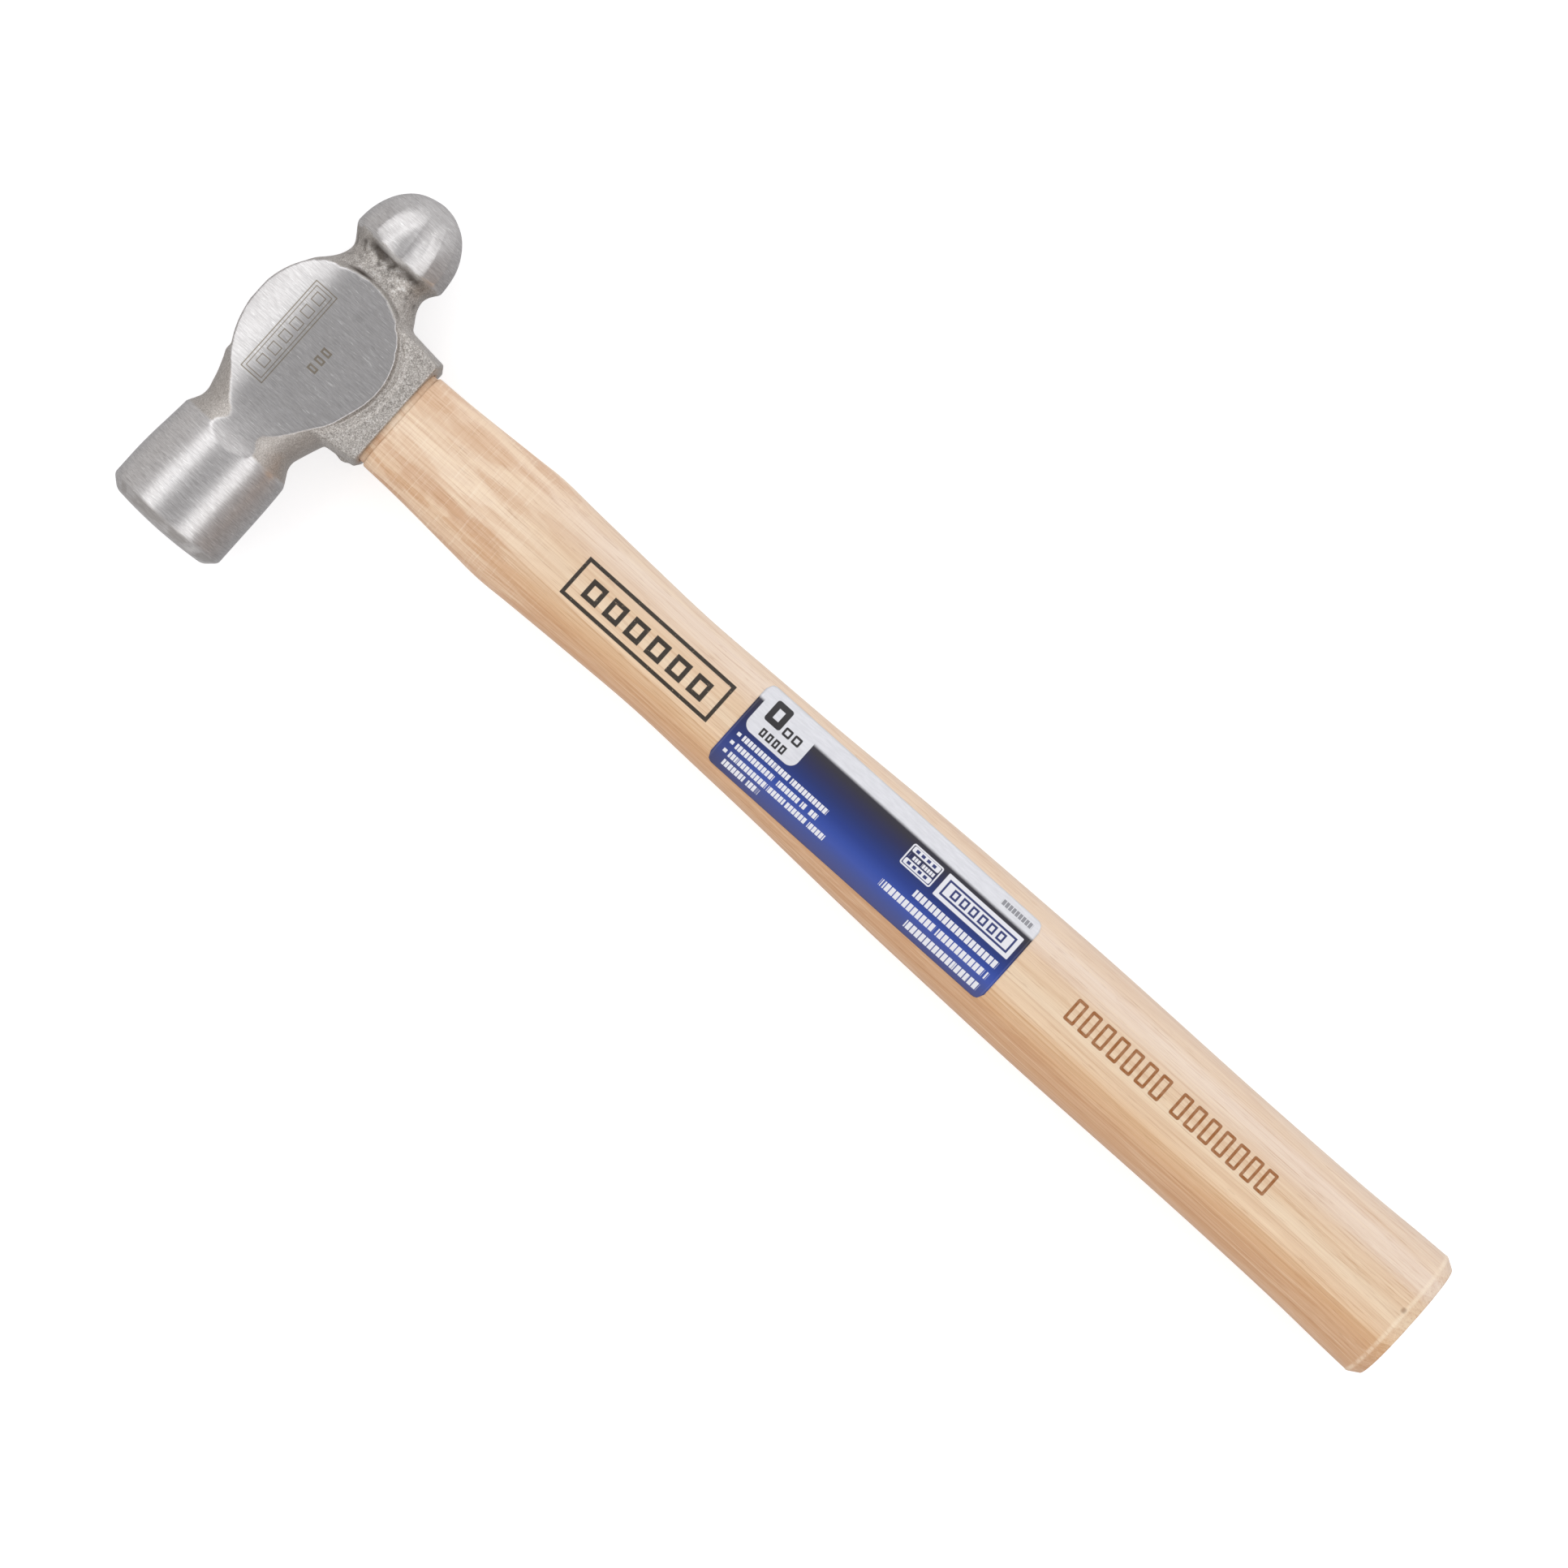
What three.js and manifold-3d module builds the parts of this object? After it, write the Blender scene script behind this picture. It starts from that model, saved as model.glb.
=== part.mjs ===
// Ball-peen hammer, 8 oz: a drop-forged steel head wedged onto a hickory handle.
//
// Units are millimetres and +Z is up. The hammer lies on its side: the handle runs along +X from
// the head to the butt, the ball points along +Y and the striking face along -Y.
// Everything is drawn around the centre of the eye, where the head's axis (Y) crosses the handle's
// axis (X) on the forging's parting plane (z = 0). The last lines move the whole hammer so that
// the origin is on the floor, under the middle of its bounding box.

import * as THREE from 'three';
import { mergeVertices } from 'three/addons/utils/BufferGeometryUtils.js';
import Module from 'manifold-3d';

const wasm = await Module();
wasm.setup();

// ---------------------------------------------------------------- driving dimensions

const FIT_GAP = 0.3; // clearance kept between pieces that touch

// Head, along its own axis (y) and around it (r).
const FACE_Y = -45.6;
const FACE_RADIUS = 10.6;
const FACE_CHAMFER = 2.4;
const POLL_RADIUS = 13;
const POLL_BACK_Y = -24.6;
const POLL_BACK_RADIUS = 12.5;
const POLL_NECK_Y = -19.7;
const POLL_NECK_RADIUS = 10.65;
const BALL_NECK_Y = 18.6;
const BALL_NECK_RADIUS = 8.5;
const BALL_RIM_Y = 23.2;
const BALL_RADIUS = 10.5;
const BALL_TIP_Y = 35.9;
const BALL_ROUNDNESS = 2.1; // superellipse exponent of the ball's profile
const HUB_RADIUS = 13.4;

// Eye body between the two necks.
const CHEEK_HALF = 9.75; // half the thickness across the ground cheeks
const COLLAR_HALF = 8.9; // half the thickness of the collar round the handle
const EYE_TOP_X = -15;
const EYE_TOP_ARCH_RADIUS = 20.5;
const CHEEK_RADIUS = 14;
const CHEEK_CENTRE_X = 0.9;
const COLLAR_END_X = 20.1;
const FORGING_DRAFT = 0.085; // side-wall slope towards the parting plane

// Eye: an oval hole along x, narrowest inside the head and wider at both mouths.
const EYE = {
  mouth: { y: 10.7, z: 7.5 },
  waist: { y: 9.5, z: 6.3 },
  top: { y: 10.3, z: 7.1 },
  waistX: 2,
  exponent: 2.7,
};

// Handle.
const BUTT_X = 276.7;
const BUTT_CHAMFER = 2.2;
const TENON_END_X = EYE_TOP_X + 0.4;
const SHOULDER_X = COLLAR_END_X + FIT_GAP;

// Half width (y), half thickness (z) and section exponent along the handle.
const HANDLE_STATIONS = [
  { x: SHOULDER_X, y: 11.0, z: 8.0, n: 4.6 },
  { x: 30, y: 11.25, z: 8.05, n: 4.2 },
  { x: 44, y: 12.05, z: 8.15, n: 3.4 },
  { x: 51.5, y: 12.45, z: 8.25, n: 3.0 },
  { x: 60, y: 12.1, z: 8.3, n: 2.7 },
  { x: 75, y: 11.55, z: 8.3, n: 2.5 },
  { x: 90, y: 11.17, z: 8.35, n: 2.4 },
  { x: 106, y: 11.5, z: 8.6, n: 2.4 },
  { x: 122, y: 11.9, z: 8.95, n: 2.4 },
  { x: 145, y: 12.75, z: 9.55, n: 2.4 },
  { x: 165, y: 13.2, z: 9.95, n: 2.4 },
  { x: 191, y: 13.55, z: 10.25, n: 2.4 },
  { x: 226, y: 13.45, z: 10.3, n: 2.4 },
  { x: 252, y: 13.7, z: 10.45, n: 2.4 },
  { x: 268, y: 14.25, z: 10.75, n: 2.4 },
  { x: BUTT_X - BUTT_CHAMFER, y: 14.45, z: 10.9, n: 2.4 },
];
const SECTION_SIDES = 32;
const STATION_STEP = 8;
const HEAD_SIDES = 48;

// Wedges driven into the end of the tenon.
const WOOD_WEDGE = { length: 22, thick: 3.4, tip: 0.9 };
const STEEL_WEDGE = { length: 12, thick: 2.2, tip: 0.5, width: 9, offset: 4.8 };
const KERF_THICKNESS = 1.4;
const KERF_DEPTH = 27;

// Label wrapped over the handle's upper side.
const LABEL = { from: 106.4, to: 175.4, lowY: -8.8, highY: 10.0, thick: 0.3, columns: 10, rows: 10 };

// ---------------------------------------------------------------- materials

function makeMaterial(color, roughness, metalness) {
  return new THREE.MeshStandardMaterial({ color, roughness, metalness });
}

const forgedSteel = makeMaterial(0xb2b0ad, 0.42, 1);
const hickory = makeMaterial(0xe2bf93, 0.62, 0);
const wedgeWood = makeMaterial(0xcda777, 0.7, 0);
const wedgeSteel = makeMaterial(0x8f8f90, 0.5, 1);
const labelFilm = makeMaterial(0x24418f, 0.35, 0);

// ---------------------------------------------------------------- solids

function toSolid(geometry) {
  const bare = geometry.index ? geometry.toNonIndexed() : geometry.clone();
  bare.deleteAttribute('normal');
  bare.deleteAttribute('uv');
  const merged = mergeVertices(bare, 1e-4);
  const vertProperties = new Float32Array(merged.attributes.position.array);
  const triVerts = new Uint32Array(merged.index.array);
  return new wasm.Manifold(new wasm.Mesh({ numProp: 3, vertProperties, triVerts }));
}

function toGeometry(solid) {
  const { vertProperties, triVerts } = solid.getMesh();
  const geometry = new THREE.BufferGeometry();
  geometry.setAttribute('position', new THREE.BufferAttribute(vertProperties, 3));
  geometry.setIndex(new THREE.BufferAttribute(triVerts, 1));
  geometry.computeVertexNormals();
  return geometry;
}

function boxSolid(low, high) {
  const size = new THREE.Vector3().subVectors(high, low);
  const centre = new THREE.Vector3().addVectors(low, high).multiplyScalar(0.5);
  const box = new THREE.BoxGeometry(size.x, size.y, size.z);
  return toSolid(box.translate(centre.x, centre.y, centre.z));
}

// A plan outline (x, y) made into a slab centred on the parting plane, widening towards it.
function draftedSlab(outline, half, curveSegments) {
  const flatBand = 0.5;
  const slab = new THREE.ExtrudeGeometry(outline, {
    depth: flatBand,
    curveSegments,
    bevelEnabled: true,
    bevelSegments: 1,
    bevelThickness: half - flatBand / 2,
    bevelSize: half * FORGING_DRAFT,
  });
  return toSolid(slab.translate(0, 0, -flatBand / 2));
}

// Point on a superellipse with half sizes y and z.
function ovalPoint(angle, y, z, exponent) {
  const c = Math.cos(angle);
  const s = Math.sin(angle);
  const size = (Math.abs(c) ** exponent + Math.abs(s) ** exponent) ** (-1 / exponent);
  return { y: y * c * size, z: z * s * size };
}

// A closed body along x through oval rings, drawn by reshaping a cylinder.
function ovalLoft(rings) {
  const span = rings.length - 1;
  const body = new THREE.CylinderGeometry(1, 1, span, SECTION_SIDES, span);
  const position = body.attributes.position;
  const vertex = new THREE.Vector3();
  for (let i = 0; i < position.count; i += 1) {
    vertex.fromBufferAttribute(position, i);
    const ring = rings[Math.round(vertex.y + span / 2)];
    if (Math.hypot(vertex.x, vertex.z) < 0.5) {
      position.setXYZ(i, ring.x, 0, 0);
      continue;
    }
    const point = ovalPoint(Math.atan2(vertex.x, vertex.z), ring.y, ring.z, ring.n);
    position.setXYZ(i, ring.x, point.y, point.z);
  }
  return toSolid(body);
}

// ---------------------------------------------------------------- head

// Profile of the whole head round its own axis, from the striking face to the tip of the ball.
function headProfile() {
  const points = [
    new THREE.Vector2(0, FACE_Y),
    new THREE.Vector2(FACE_RADIUS, FACE_Y),
    new THREE.Vector2(POLL_RADIUS, FACE_Y + FACE_CHAMFER),
    new THREE.Vector2(POLL_RADIUS, FACE_Y + 12),
    new THREE.Vector2(POLL_BACK_RADIUS, POLL_BACK_Y),
    new THREE.Vector2(POLL_BACK_RADIUS - 0.6, POLL_BACK_Y + 1.2),
  ];
  const neckToHub = new THREE.SplineCurve([
    new THREE.Vector2(POLL_NECK_RADIUS + 0.2, POLL_NECK_Y - 1.5),
    new THREE.Vector2(POLL_NECK_RADIUS, POLL_NECK_Y),
    new THREE.Vector2(POLL_NECK_RADIUS + 0.7, POLL_NECK_Y + 3.2),
    new THREE.Vector2(POLL_NECK_RADIUS + 1.7, POLL_NECK_Y + 6.2),
    new THREE.Vector2(HUB_RADIUS, POLL_NECK_Y + 9.5),
  ]);
  const hubToBallNeck = new THREE.SplineCurve([
    new THREE.Vector2(HUB_RADIUS, BALL_NECK_Y - 9),
    new THREE.Vector2(BALL_NECK_RADIUS + 3, BALL_NECK_Y - 6.2),
    new THREE.Vector2(BALL_NECK_RADIUS + 1.3, BALL_NECK_Y - 3.9),
    new THREE.Vector2(BALL_NECK_RADIUS + 0.3, BALL_NECK_Y - 2),
    new THREE.Vector2(BALL_NECK_RADIUS, BALL_NECK_Y),
    new THREE.Vector2(BALL_NECK_RADIUS + 0.5, BALL_NECK_Y + 1.9),
    new THREE.Vector2(BALL_RADIUS - 0.3, BALL_RIM_Y - 0.7),
  ]);
  points.push(...neckToHub.getPoints(6), ...hubToBallNeck.getPoints(10));
  const steps = 9;
  const reach = BALL_TIP_Y - BALL_RIM_Y;
  for (let i = 0; i < steps; i += 1) {
    const point = ovalPoint((i / steps) * (Math.PI / 2), BALL_RADIUS, reach, BALL_ROUNDNESS);
    points.push(new THREE.Vector2(point.y, BALL_RIM_Y + point.z));
  }
  points.push(new THREE.Vector2(0, BALL_TIP_Y));
  return points;
}

// Plan of the eye body at the cheek: an arched top on the left, the round cheek on the right.
function cheekOutline() {
  const halfHeight = 9.4;
  const archCentreX = EYE_TOP_X + EYE_TOP_ARCH_RADIUS;
  const archAngle = Math.asin(halfHeight / EYE_TOP_ARCH_RADIUS);
  const outline = new THREE.Shape();
  outline.absarc(archCentreX, 0, EYE_TOP_ARCH_RADIUS, Math.PI - archAngle, Math.PI + archAngle);
  outline.lineTo(-9, -12.4);
  outline.absarc(CHEEK_CENTRE_X, 0, CHEEK_RADIUS, -Math.PI / 3, Math.PI * 0.64);
  outline.closePath();
  return outline;
}

// Plan of the collar that reaches down round the shoulder of the handle.
function collarOutline() {
  const corner = 1;
  const rootX = 8;
  const endX = COLLAR_END_X - 0.3;
  const outline = new THREE.Shape();
  outline.moveTo(rootX, -12.5);
  outline.lineTo(endX - corner, -11.5);
  outline.quadraticCurveTo(endX, -11.4, endX, -11.4 + corner);
  outline.lineTo(endX, 12.4 - corner);
  outline.quadraticCurveTo(endX, 12.4, endX - corner, 12.5);
  outline.lineTo(rootX, 13.2);
  outline.closePath();
  return outline;
}

// Flats ground on both sides, from the shoulder of the poll to the neck of the ball.
function cheekCutters() {
  const low = new THREE.Vector3(-40, POLL_BACK_Y - 0.3, CHEEK_HALF);
  const high = new THREE.Vector3(40, BALL_NECK_Y + 0.5, CHEEK_HALF + 20);
  const upper = boxSolid(low, high);
  return upper.add(upper.mirror([0, 0, 1]));
}

function eyeSize(x) {
  const mouth = x > EYE.waistX ? EYE.mouth : EYE.top;
  const mouthX = x > EYE.waistX ? COLLAR_END_X : EYE_TOP_X;
  const share = ((x - EYE.waistX) / (mouthX - EYE.waistX)) ** 2;
  return {
    y: THREE.MathUtils.lerp(EYE.waist.y, mouth.y, share),
    z: THREE.MathUtils.lerp(EYE.waist.z, mouth.z, share),
  };
}

// Oval body filling the eye between two stations, drawn in from the wall by the given gap.
function eyeFilling(fromX, toX, gap) {
  const rings = [];
  const steps = 8;
  for (let i = 0; i <= steps; i += 1) {
    const x = THREE.MathUtils.lerp(fromX, toX, i / steps);
    const size = eyeSize(x);
    rings.push({ x, y: size.y - gap, z: size.z - gap, n: EYE.exponent });
  }
  return rings;
}

function makeHead() {
  const turned = toSolid(new THREE.LatheGeometry(headProfile(), HEAD_SIDES));
  const cheeks = draftedSlab(cheekOutline(), CHEEK_HALF, 14);
  const collar = draftedSlab(collarOutline(), COLLAR_HALF, 3);
  const collarTrim = boxSolid(new THREE.Vector3(COLLAR_END_X, -30, -30), new THREE.Vector3(60, 30, 30));
  const forging = turned.subtract(cheekCutters()).add(cheeks).add(collar);
  const eye = ovalLoft(eyeFilling(EYE_TOP_X - 3, COLLAR_END_X + 3, 0));
  return forging.subtract(collarTrim).subtract(eye);
}

// ---------------------------------------------------------------- handle, wedges and label

// Smooth value of one measure ('y', 'z' or 'n') along the handle.
function stationCurve(measure) {
  const curve = new THREE.SplineCurve(HANDLE_STATIONS.map((s) => new THREE.Vector2(s.x, s[measure])));
  const points = curve.getPoints(HANDLE_STATIONS.length * 12);
  return (x) => {
    const after = points.findIndex((p) => p.x >= x - 1e-9);
    if (after <= 0) {
      return points[after === 0 ? 0 : points.length - 1].y;
    }
    const a = points[after - 1];
    const b = points[after];
    return THREE.MathUtils.mapLinear(x, a.x, b.x, a.y, b.y);
  };
}

const widthAt = stationCurve('y');
const thicknessAt = stationCurve('z');
const exponentAt = stationCurve('n');

function handleRing(x, inset = 0) {
  return { x, y: widthAt(x) - inset, z: thicknessAt(x) - inset, n: exponentAt(x) };
}

function makeBlank() {
  const rings = eyeFilling(TENON_END_X, SHOULDER_X, FIT_GAP);
  const length = BUTT_X - BUTT_CHAMFER - SHOULDER_X;
  const steps = Math.round(length / STATION_STEP);
  for (let i = 0; i <= steps; i += 1) {
    rings.push(handleRing(SHOULDER_X + (length * i) / steps));
  }
  rings.push({ ...handleRing(BUTT_X, BUTT_CHAMFER * 0.25), x: BUTT_X - BUTT_CHAMFER * 0.35 });
  rings.push({ ...handleRing(BUTT_X, BUTT_CHAMFER * 0.75), x: BUTT_X });
  return ovalLoft(rings);
}

// Tapered blade seen along its width: thick at the tenon's end, thin at its tip.
function bladeProfile(blade, grow) {
  const start = TENON_END_X - grow * 4;
  const tip = TENON_END_X + blade.length + grow;
  const half = blade.thick / 2 + grow;
  const tipHalf = blade.tip / 2 + grow;
  const profile = new THREE.Shape();
  profile.moveTo(start, -half);
  profile.lineTo(tip, -tipHalf);
  profile.lineTo(tip, tipHalf);
  profile.lineTo(start, half);
  profile.closePath();
  return profile;
}

function bladeSolid(blade, width, grow) {
  const extrude = { depth: width + 2 * grow, bevelEnabled: false };
  const blank = new THREE.ExtrudeGeometry(bladeProfile(blade, grow), extrude);
  return blank.translate(0, 0, -width / 2 - grow);
}

// The wood wedge lies in the x-y plane and is trimmed to the eye's oval.
function woodWedgeBlank(grow) {
  const blade = bladeSolid(WOOD_WEDGE, 4 * EYE.mouth.y, grow).rotateX(Math.PI / 2);
  return toSolid(blade);
}

function kerf() {
  const low = new THREE.Vector3(TENON_END_X - 1, -20, -KERF_THICKNESS / 2);
  const high = new THREE.Vector3(TENON_END_X + KERF_DEPTH, 20, KERF_THICKNESS / 2);
  return boxSolid(low, high);
}

// The steel wedges stand across the wood wedge, one on each side of the middle.
function steelWedge(side, grow) {
  const blade = bladeSolid(STEEL_WEDGE, STEEL_WEDGE.width, grow);
  return toSolid(blade.translate(0, side * STEEL_WEDGE.offset, 0));
}

function makeWoodWedge() {
  const tenonSpace = ovalLoft(eyeFilling(TENON_END_X, SHOULDER_X, FIT_GAP));
  let wedge = woodWedgeBlank(0).intersect(tenonSpace);
  for (const side of [-1, 1]) {
    wedge = wedge.subtract(steelWedge(side, FIT_GAP));
  }
  return wedge;
}

function makeHandle() {
  let handle = makeBlank().subtract(kerf()).subtract(woodWedgeBlank(FIT_GAP));
  for (const side of [-1, 1]) {
    handle = handle.subtract(steelWedge(side, FIT_GAP));
  }
  return handle;
}

// Height of the handle's upper side at (x, y).
function handleTop(x, y) {
  const n = exponentAt(x);
  const across = Math.min(Math.abs(y) / widthAt(x), 1);
  return thicknessAt(x) * (1 - across ** n) ** (1 / n);
}

// The label is a flat sheet bent over the wood.
function makeLabel() {
  const { from, to, lowY, highY, thick, columns, rows } = LABEL;
  const sheet = new THREE.BoxGeometry(to - from, highY - lowY, thick, columns, rows, 1);
  sheet.translate((from + to) / 2, (lowY + highY) / 2, FIT_GAP + thick / 2);
  const position = sheet.attributes.position;
  for (let i = 0; i < position.count; i += 1) {
    const height = handleTop(position.getX(i), position.getY(i));
    position.setZ(i, position.getZ(i) + height);
  }
  return toSolid(sheet);
}

// ---------------------------------------------------------------- assembly

function makeMesh(name, solid, material) {
  const mesh = new THREE.Mesh(toGeometry(solid), material);
  mesh.name = name;
  return mesh;
}

const hammer = new THREE.Group();
hammer.add(makeMesh('head', makeHead(), forgedSteel));
hammer.add(makeMesh('handle', makeHandle(), hickory));
hammer.add(makeMesh('wood_wedge', makeWoodWedge(), wedgeWood));
hammer.add(makeMesh('steel_wedge_face_side', steelWedge(-1, 0), wedgeSteel));
hammer.add(makeMesh('steel_wedge_ball_side', steelWedge(1, 0), wedgeSteel));
hammer.add(makeMesh('label', makeLabel(), labelFilm));

const archBulge = CHEEK_HALF * FORGING_DRAFT;
const lowX = EYE_TOP_X - archBulge;
hammer.position.set(-(lowX + BUTT_X) / 2, -(FACE_Y + BALL_TIP_Y) / 2, POLL_RADIUS);

const part = new THREE.Group();
part.add(hammer);

export default part;
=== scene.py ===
from itertools import product

import bpy
import numpy as np
from mathutils import Matrix, Vector, noise


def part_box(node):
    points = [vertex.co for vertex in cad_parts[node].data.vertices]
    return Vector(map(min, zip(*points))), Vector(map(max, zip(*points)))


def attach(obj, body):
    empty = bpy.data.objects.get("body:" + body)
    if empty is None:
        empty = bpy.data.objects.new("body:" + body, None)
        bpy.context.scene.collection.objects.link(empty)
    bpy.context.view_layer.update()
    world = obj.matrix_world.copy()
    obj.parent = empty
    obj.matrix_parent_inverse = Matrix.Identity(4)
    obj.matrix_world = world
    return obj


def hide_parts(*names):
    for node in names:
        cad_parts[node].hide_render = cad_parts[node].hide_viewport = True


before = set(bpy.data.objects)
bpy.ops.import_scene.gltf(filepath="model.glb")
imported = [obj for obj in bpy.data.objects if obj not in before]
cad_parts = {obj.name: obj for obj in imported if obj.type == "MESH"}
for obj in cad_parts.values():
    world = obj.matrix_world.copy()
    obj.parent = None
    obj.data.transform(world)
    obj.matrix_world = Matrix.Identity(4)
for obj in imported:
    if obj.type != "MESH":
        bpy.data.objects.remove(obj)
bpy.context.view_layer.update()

# Ball-peen hammer: a drop-forged head wedged onto a hickory handle, lying on its side.
# Shapes are drawn in millimetres around the centre of the eye: x runs along the handle to the
# butt, y along the head to the ball and z up. to_row() moves them into the frame's own place.

MM = 0.001

# ------------------------------------------------------------------ dimensions, in millimetres

FACE_Y = -45.6
POLL_RADIUS = 13.0
POLL_BACK_Y = -23.7
BALL_RIM_Y = 23.2
BALL_RADIUS = 10.5
BALL_TIP_Y = 35.9
CHEEK_HALF = 9.75
COLLAR_HALF = 8.9
COLLAR_END_X = 20.1
EYE_TOP_X = -15.0
BUTT_X = 276.7
BUTT_CHAMFER = 2.3
BUTT_DOME = 0.12
SHOULDER_X = COLLAR_END_X + 0.1
TENON_END_X = EYE_TOP_X + 0.4
TOP_ARCH_RADIUS = 20.5
TOP_ARCH_Y = 0.6
EYE_EXPONENT = 2.7
CAMERA_SPOT = (120.92, -2.757, 1150)

HEAD_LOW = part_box("head")[0]
HANDLE_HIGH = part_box("handle")[1]
ORIGIN = Vector((HANDLE_HIGH.x - BUTT_X * MM, HEAD_LOW.y - FACE_Y * MM, HEAD_LOW.z + POLL_RADIUS * MM))

WOOD_WEDGE = {"length": 22.0, "thick": 3.4, "tip": 0.9, "width": 11.2, "exponent": 6}
STEEL_WEDGE = {"length": 12.0, "thick": 2.2, "tip": 0.5, "width": 9.0, "exponent": 8}
STEEL_WEDGE_OFFSET = 4.8
LABEL = {"from": 106.4, "to": 175.4, "low": -8.8, "high": 10.0, "corner": 1.6, "thick": 0.12}


def to_row(points):
    """Millimetres around the eye to metres in the frame."""
    return np.asarray(points, float) * MM + np.array(ORIGIN)


# ------------------------------------------------------------------ curves and fields

def spline(stations, steps=24):
    """Dense Catmull-Rom curve through rows of (position, values...)."""
    rows = np.asarray(stations, float)
    padded = np.vstack([2 * rows[0] - rows[1], rows, 2 * rows[-1] - rows[-2]])
    t = np.linspace(0, 1, steps, endpoint=False)[:, None]
    pieces = []
    for a, b, c, d in zip(padded[:-3], padded[1:-2], padded[2:-1], padded[3:]):
        cubic = (3 * b - a - 3 * c + d) * t ** 3 + (2 * a - 5 * b + 4 * c - d) * t ** 2
        pieces.append(b + 0.5 * ((c - a) * t + cubic))
    return np.vstack([*pieces, rows[-1:]])


def smooth_min(a, b, radius):
    share = np.clip(0.5 + 0.5 * (b - a) / radius, 0, 1)
    return b + (a - b) * share - radius * share * (1 - share)


def smooth_max(a, b, radius):
    return -smooth_min(-a, -b, radius)


def smooth_step(low, high, value):
    t = np.clip((value - low) / (high - low), 0, 1)
    return t * t * (3 - 2 * t)


# Mid-plane radius of the head at y, on the eye-top side (left) and the handle side (right).
NECK_PROFILE = spline([
    (-43.0, 13.0, 13.0),
    (-37.0, 12.95, 13.0),
    (-33.0, 12.75, 13.0),
    (-29.0, 12.4, 12.95),
    (-25.0, 12.05, 12.8),
    (-23.9, 11.9, 12.5),
    (-22.4, 11.0, 11.6),
    (-21.2, 10.45, 11.0),
    (-19.7, 10.35, 10.8),
    (-18.3, 10.65, 11.2),
    (-16.0, 11.25, 12.05),
    (-13.5, 12.15, 13.0),
    (-11.6, 12.85, 13.9),
    (-9.9, 12.4, 14.9),
    (-7.0, 12.4, 15.6),
    (0.0, 12.4, 15.6),
    (7.0, 12.4, 14.6),
    (9.6, 12.4, 13.9),
    (12.0, 11.75, 12.6),
    (13.9, 10.15, 11.4),
    (15.4, 9.15, 10.5),
    (17.0, 8.4, 9.55),
    (18.5, 8.05, 9.0),
    (19.6, 8.25, 8.85),
    (20.8, 8.95, 9.15),
    (22.0, 9.8, 9.85),
    (23.2, 10.4, 10.5),
    (26.0, 10.4, 10.5),
])

# Half width (y), half thickness (z) and section exponent along the handle.
HANDLE_CURVE = spline([
    (20.2, 11.0, 8.0, 4.6),
    (30, 11.25, 8.05, 4.2),
    (44, 12.05, 8.15, 3.4),
    (51.5, 12.45, 8.25, 3.0),
    (60, 12.1, 8.3, 2.7),
    (75, 11.55, 8.3, 2.5),
    (90, 11.17, 8.35, 2.4),
    (106, 11.5, 8.6, 2.4),
    (122, 11.9, 8.95, 2.4),
    (145, 12.75, 9.55, 2.4),
    (165, 13.2, 9.95, 2.4),
    (191, 13.55, 10.25, 2.4),
    (226, 13.45, 10.3, 2.4),
    (252, 13.7, 10.45, 2.4),
    (268, 14.25, 10.75, 2.4),
    (276.7, 14.5, 10.95, 2.4),
])

# Angle at the rim of each flat ground on the ball, and its turn in each millimetre to the tip.
BALL_FACETS = np.radians([
    (-155, 0), (-120, 0), (-90, 0), (-70, 0), (-48, 0), (-20, 1.0), (-5, -0.3),
    (22, -1.0), (32, -1.0), (46, -0.6), (70, 0), (100, 0), (135, 0), (172, 0),
])


def faceted_reach(x, y, z):
    """Distance from the ball's axis as flats ground side by side would measure it."""
    ahead = y - BALL_RIM_Y
    angles = [angle + turn * ahead for angle, turn in BALL_FACETS]
    flat = np.max([x * np.sin(angle) + z * np.cos(angle) for angle in angles], axis=0)
    return 0.45 * np.hypot(x, z) + 0.55 * flat * 1.012


def turned_field(x, y, z):
    """The head round its own axis: face, poll, both necks and the ball."""
    angle = np.arctan2(x, z)
    wave = 0.24 * np.sin(3 * angle + 1.2) + 0.16 * np.sin(8 * angle + 2) + 0.12 * np.sin(13 * angle)
    y = y + wave * np.exp(-((y - BALL_RIM_Y) / 1.6) ** 2)
    left = np.interp(y, NECK_PROFILE[:, 0], NECK_PROFILE[:, 1])
    right = np.interp(y, NECK_PROFILE[:, 0], NECK_PROFILE[:, 2])
    # The necks are a little squarer than round and the ball's neck is pinched between the dies.
    square = 2 + 0.4 * smooth_step(-24.2, -21.5, y) * (1 - smooth_step(8, 15, y))
    pinch = 1 - 0.06 * smooth_step(13, 18, y) * (1 - smooth_step(21, 23, y))
    across = np.abs(x)
    height = np.abs(z) / pinch
    reach = (across ** square + height ** square) ** (1 / square) + 1e-6
    side = 0.5 + 0.5 * np.clip(x / reach, -1, 1)
    radius = left + (right - left) * side
    steep = np.gradient(NECK_PROFILE[:, 1], NECK_PROFILE[:, 0])
    slope = np.interp(y, NECK_PROFILE[:, 0], steep)
    wall = (reach - radius) / np.sqrt(1 + slope ** 2)
    roundness = 2.1
    ball_reach = np.clip(y - BALL_RIM_Y, 0, None) / (BALL_TIP_Y - BALL_RIM_Y)
    ball_wide = faceted_reach(x, y, z) / BALL_RADIUS
    ball = (ball_wide ** roundness + ball_reach ** roundness) ** (1 / roundness)
    wall = np.where(y > BALL_RIM_Y, (ball - 1) * BALL_RADIUS, wall)
    face = FACE_Y - 0.3 + 0.62 * (reach / 10.8) ** 2 - y
    chamfer = (reach - POLL_RADIUS) * 0.67 - (y + 43.25) * 0.742
    return smooth_max(smooth_max(wall, face, 0.3), chamfer, 0.5)


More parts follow.
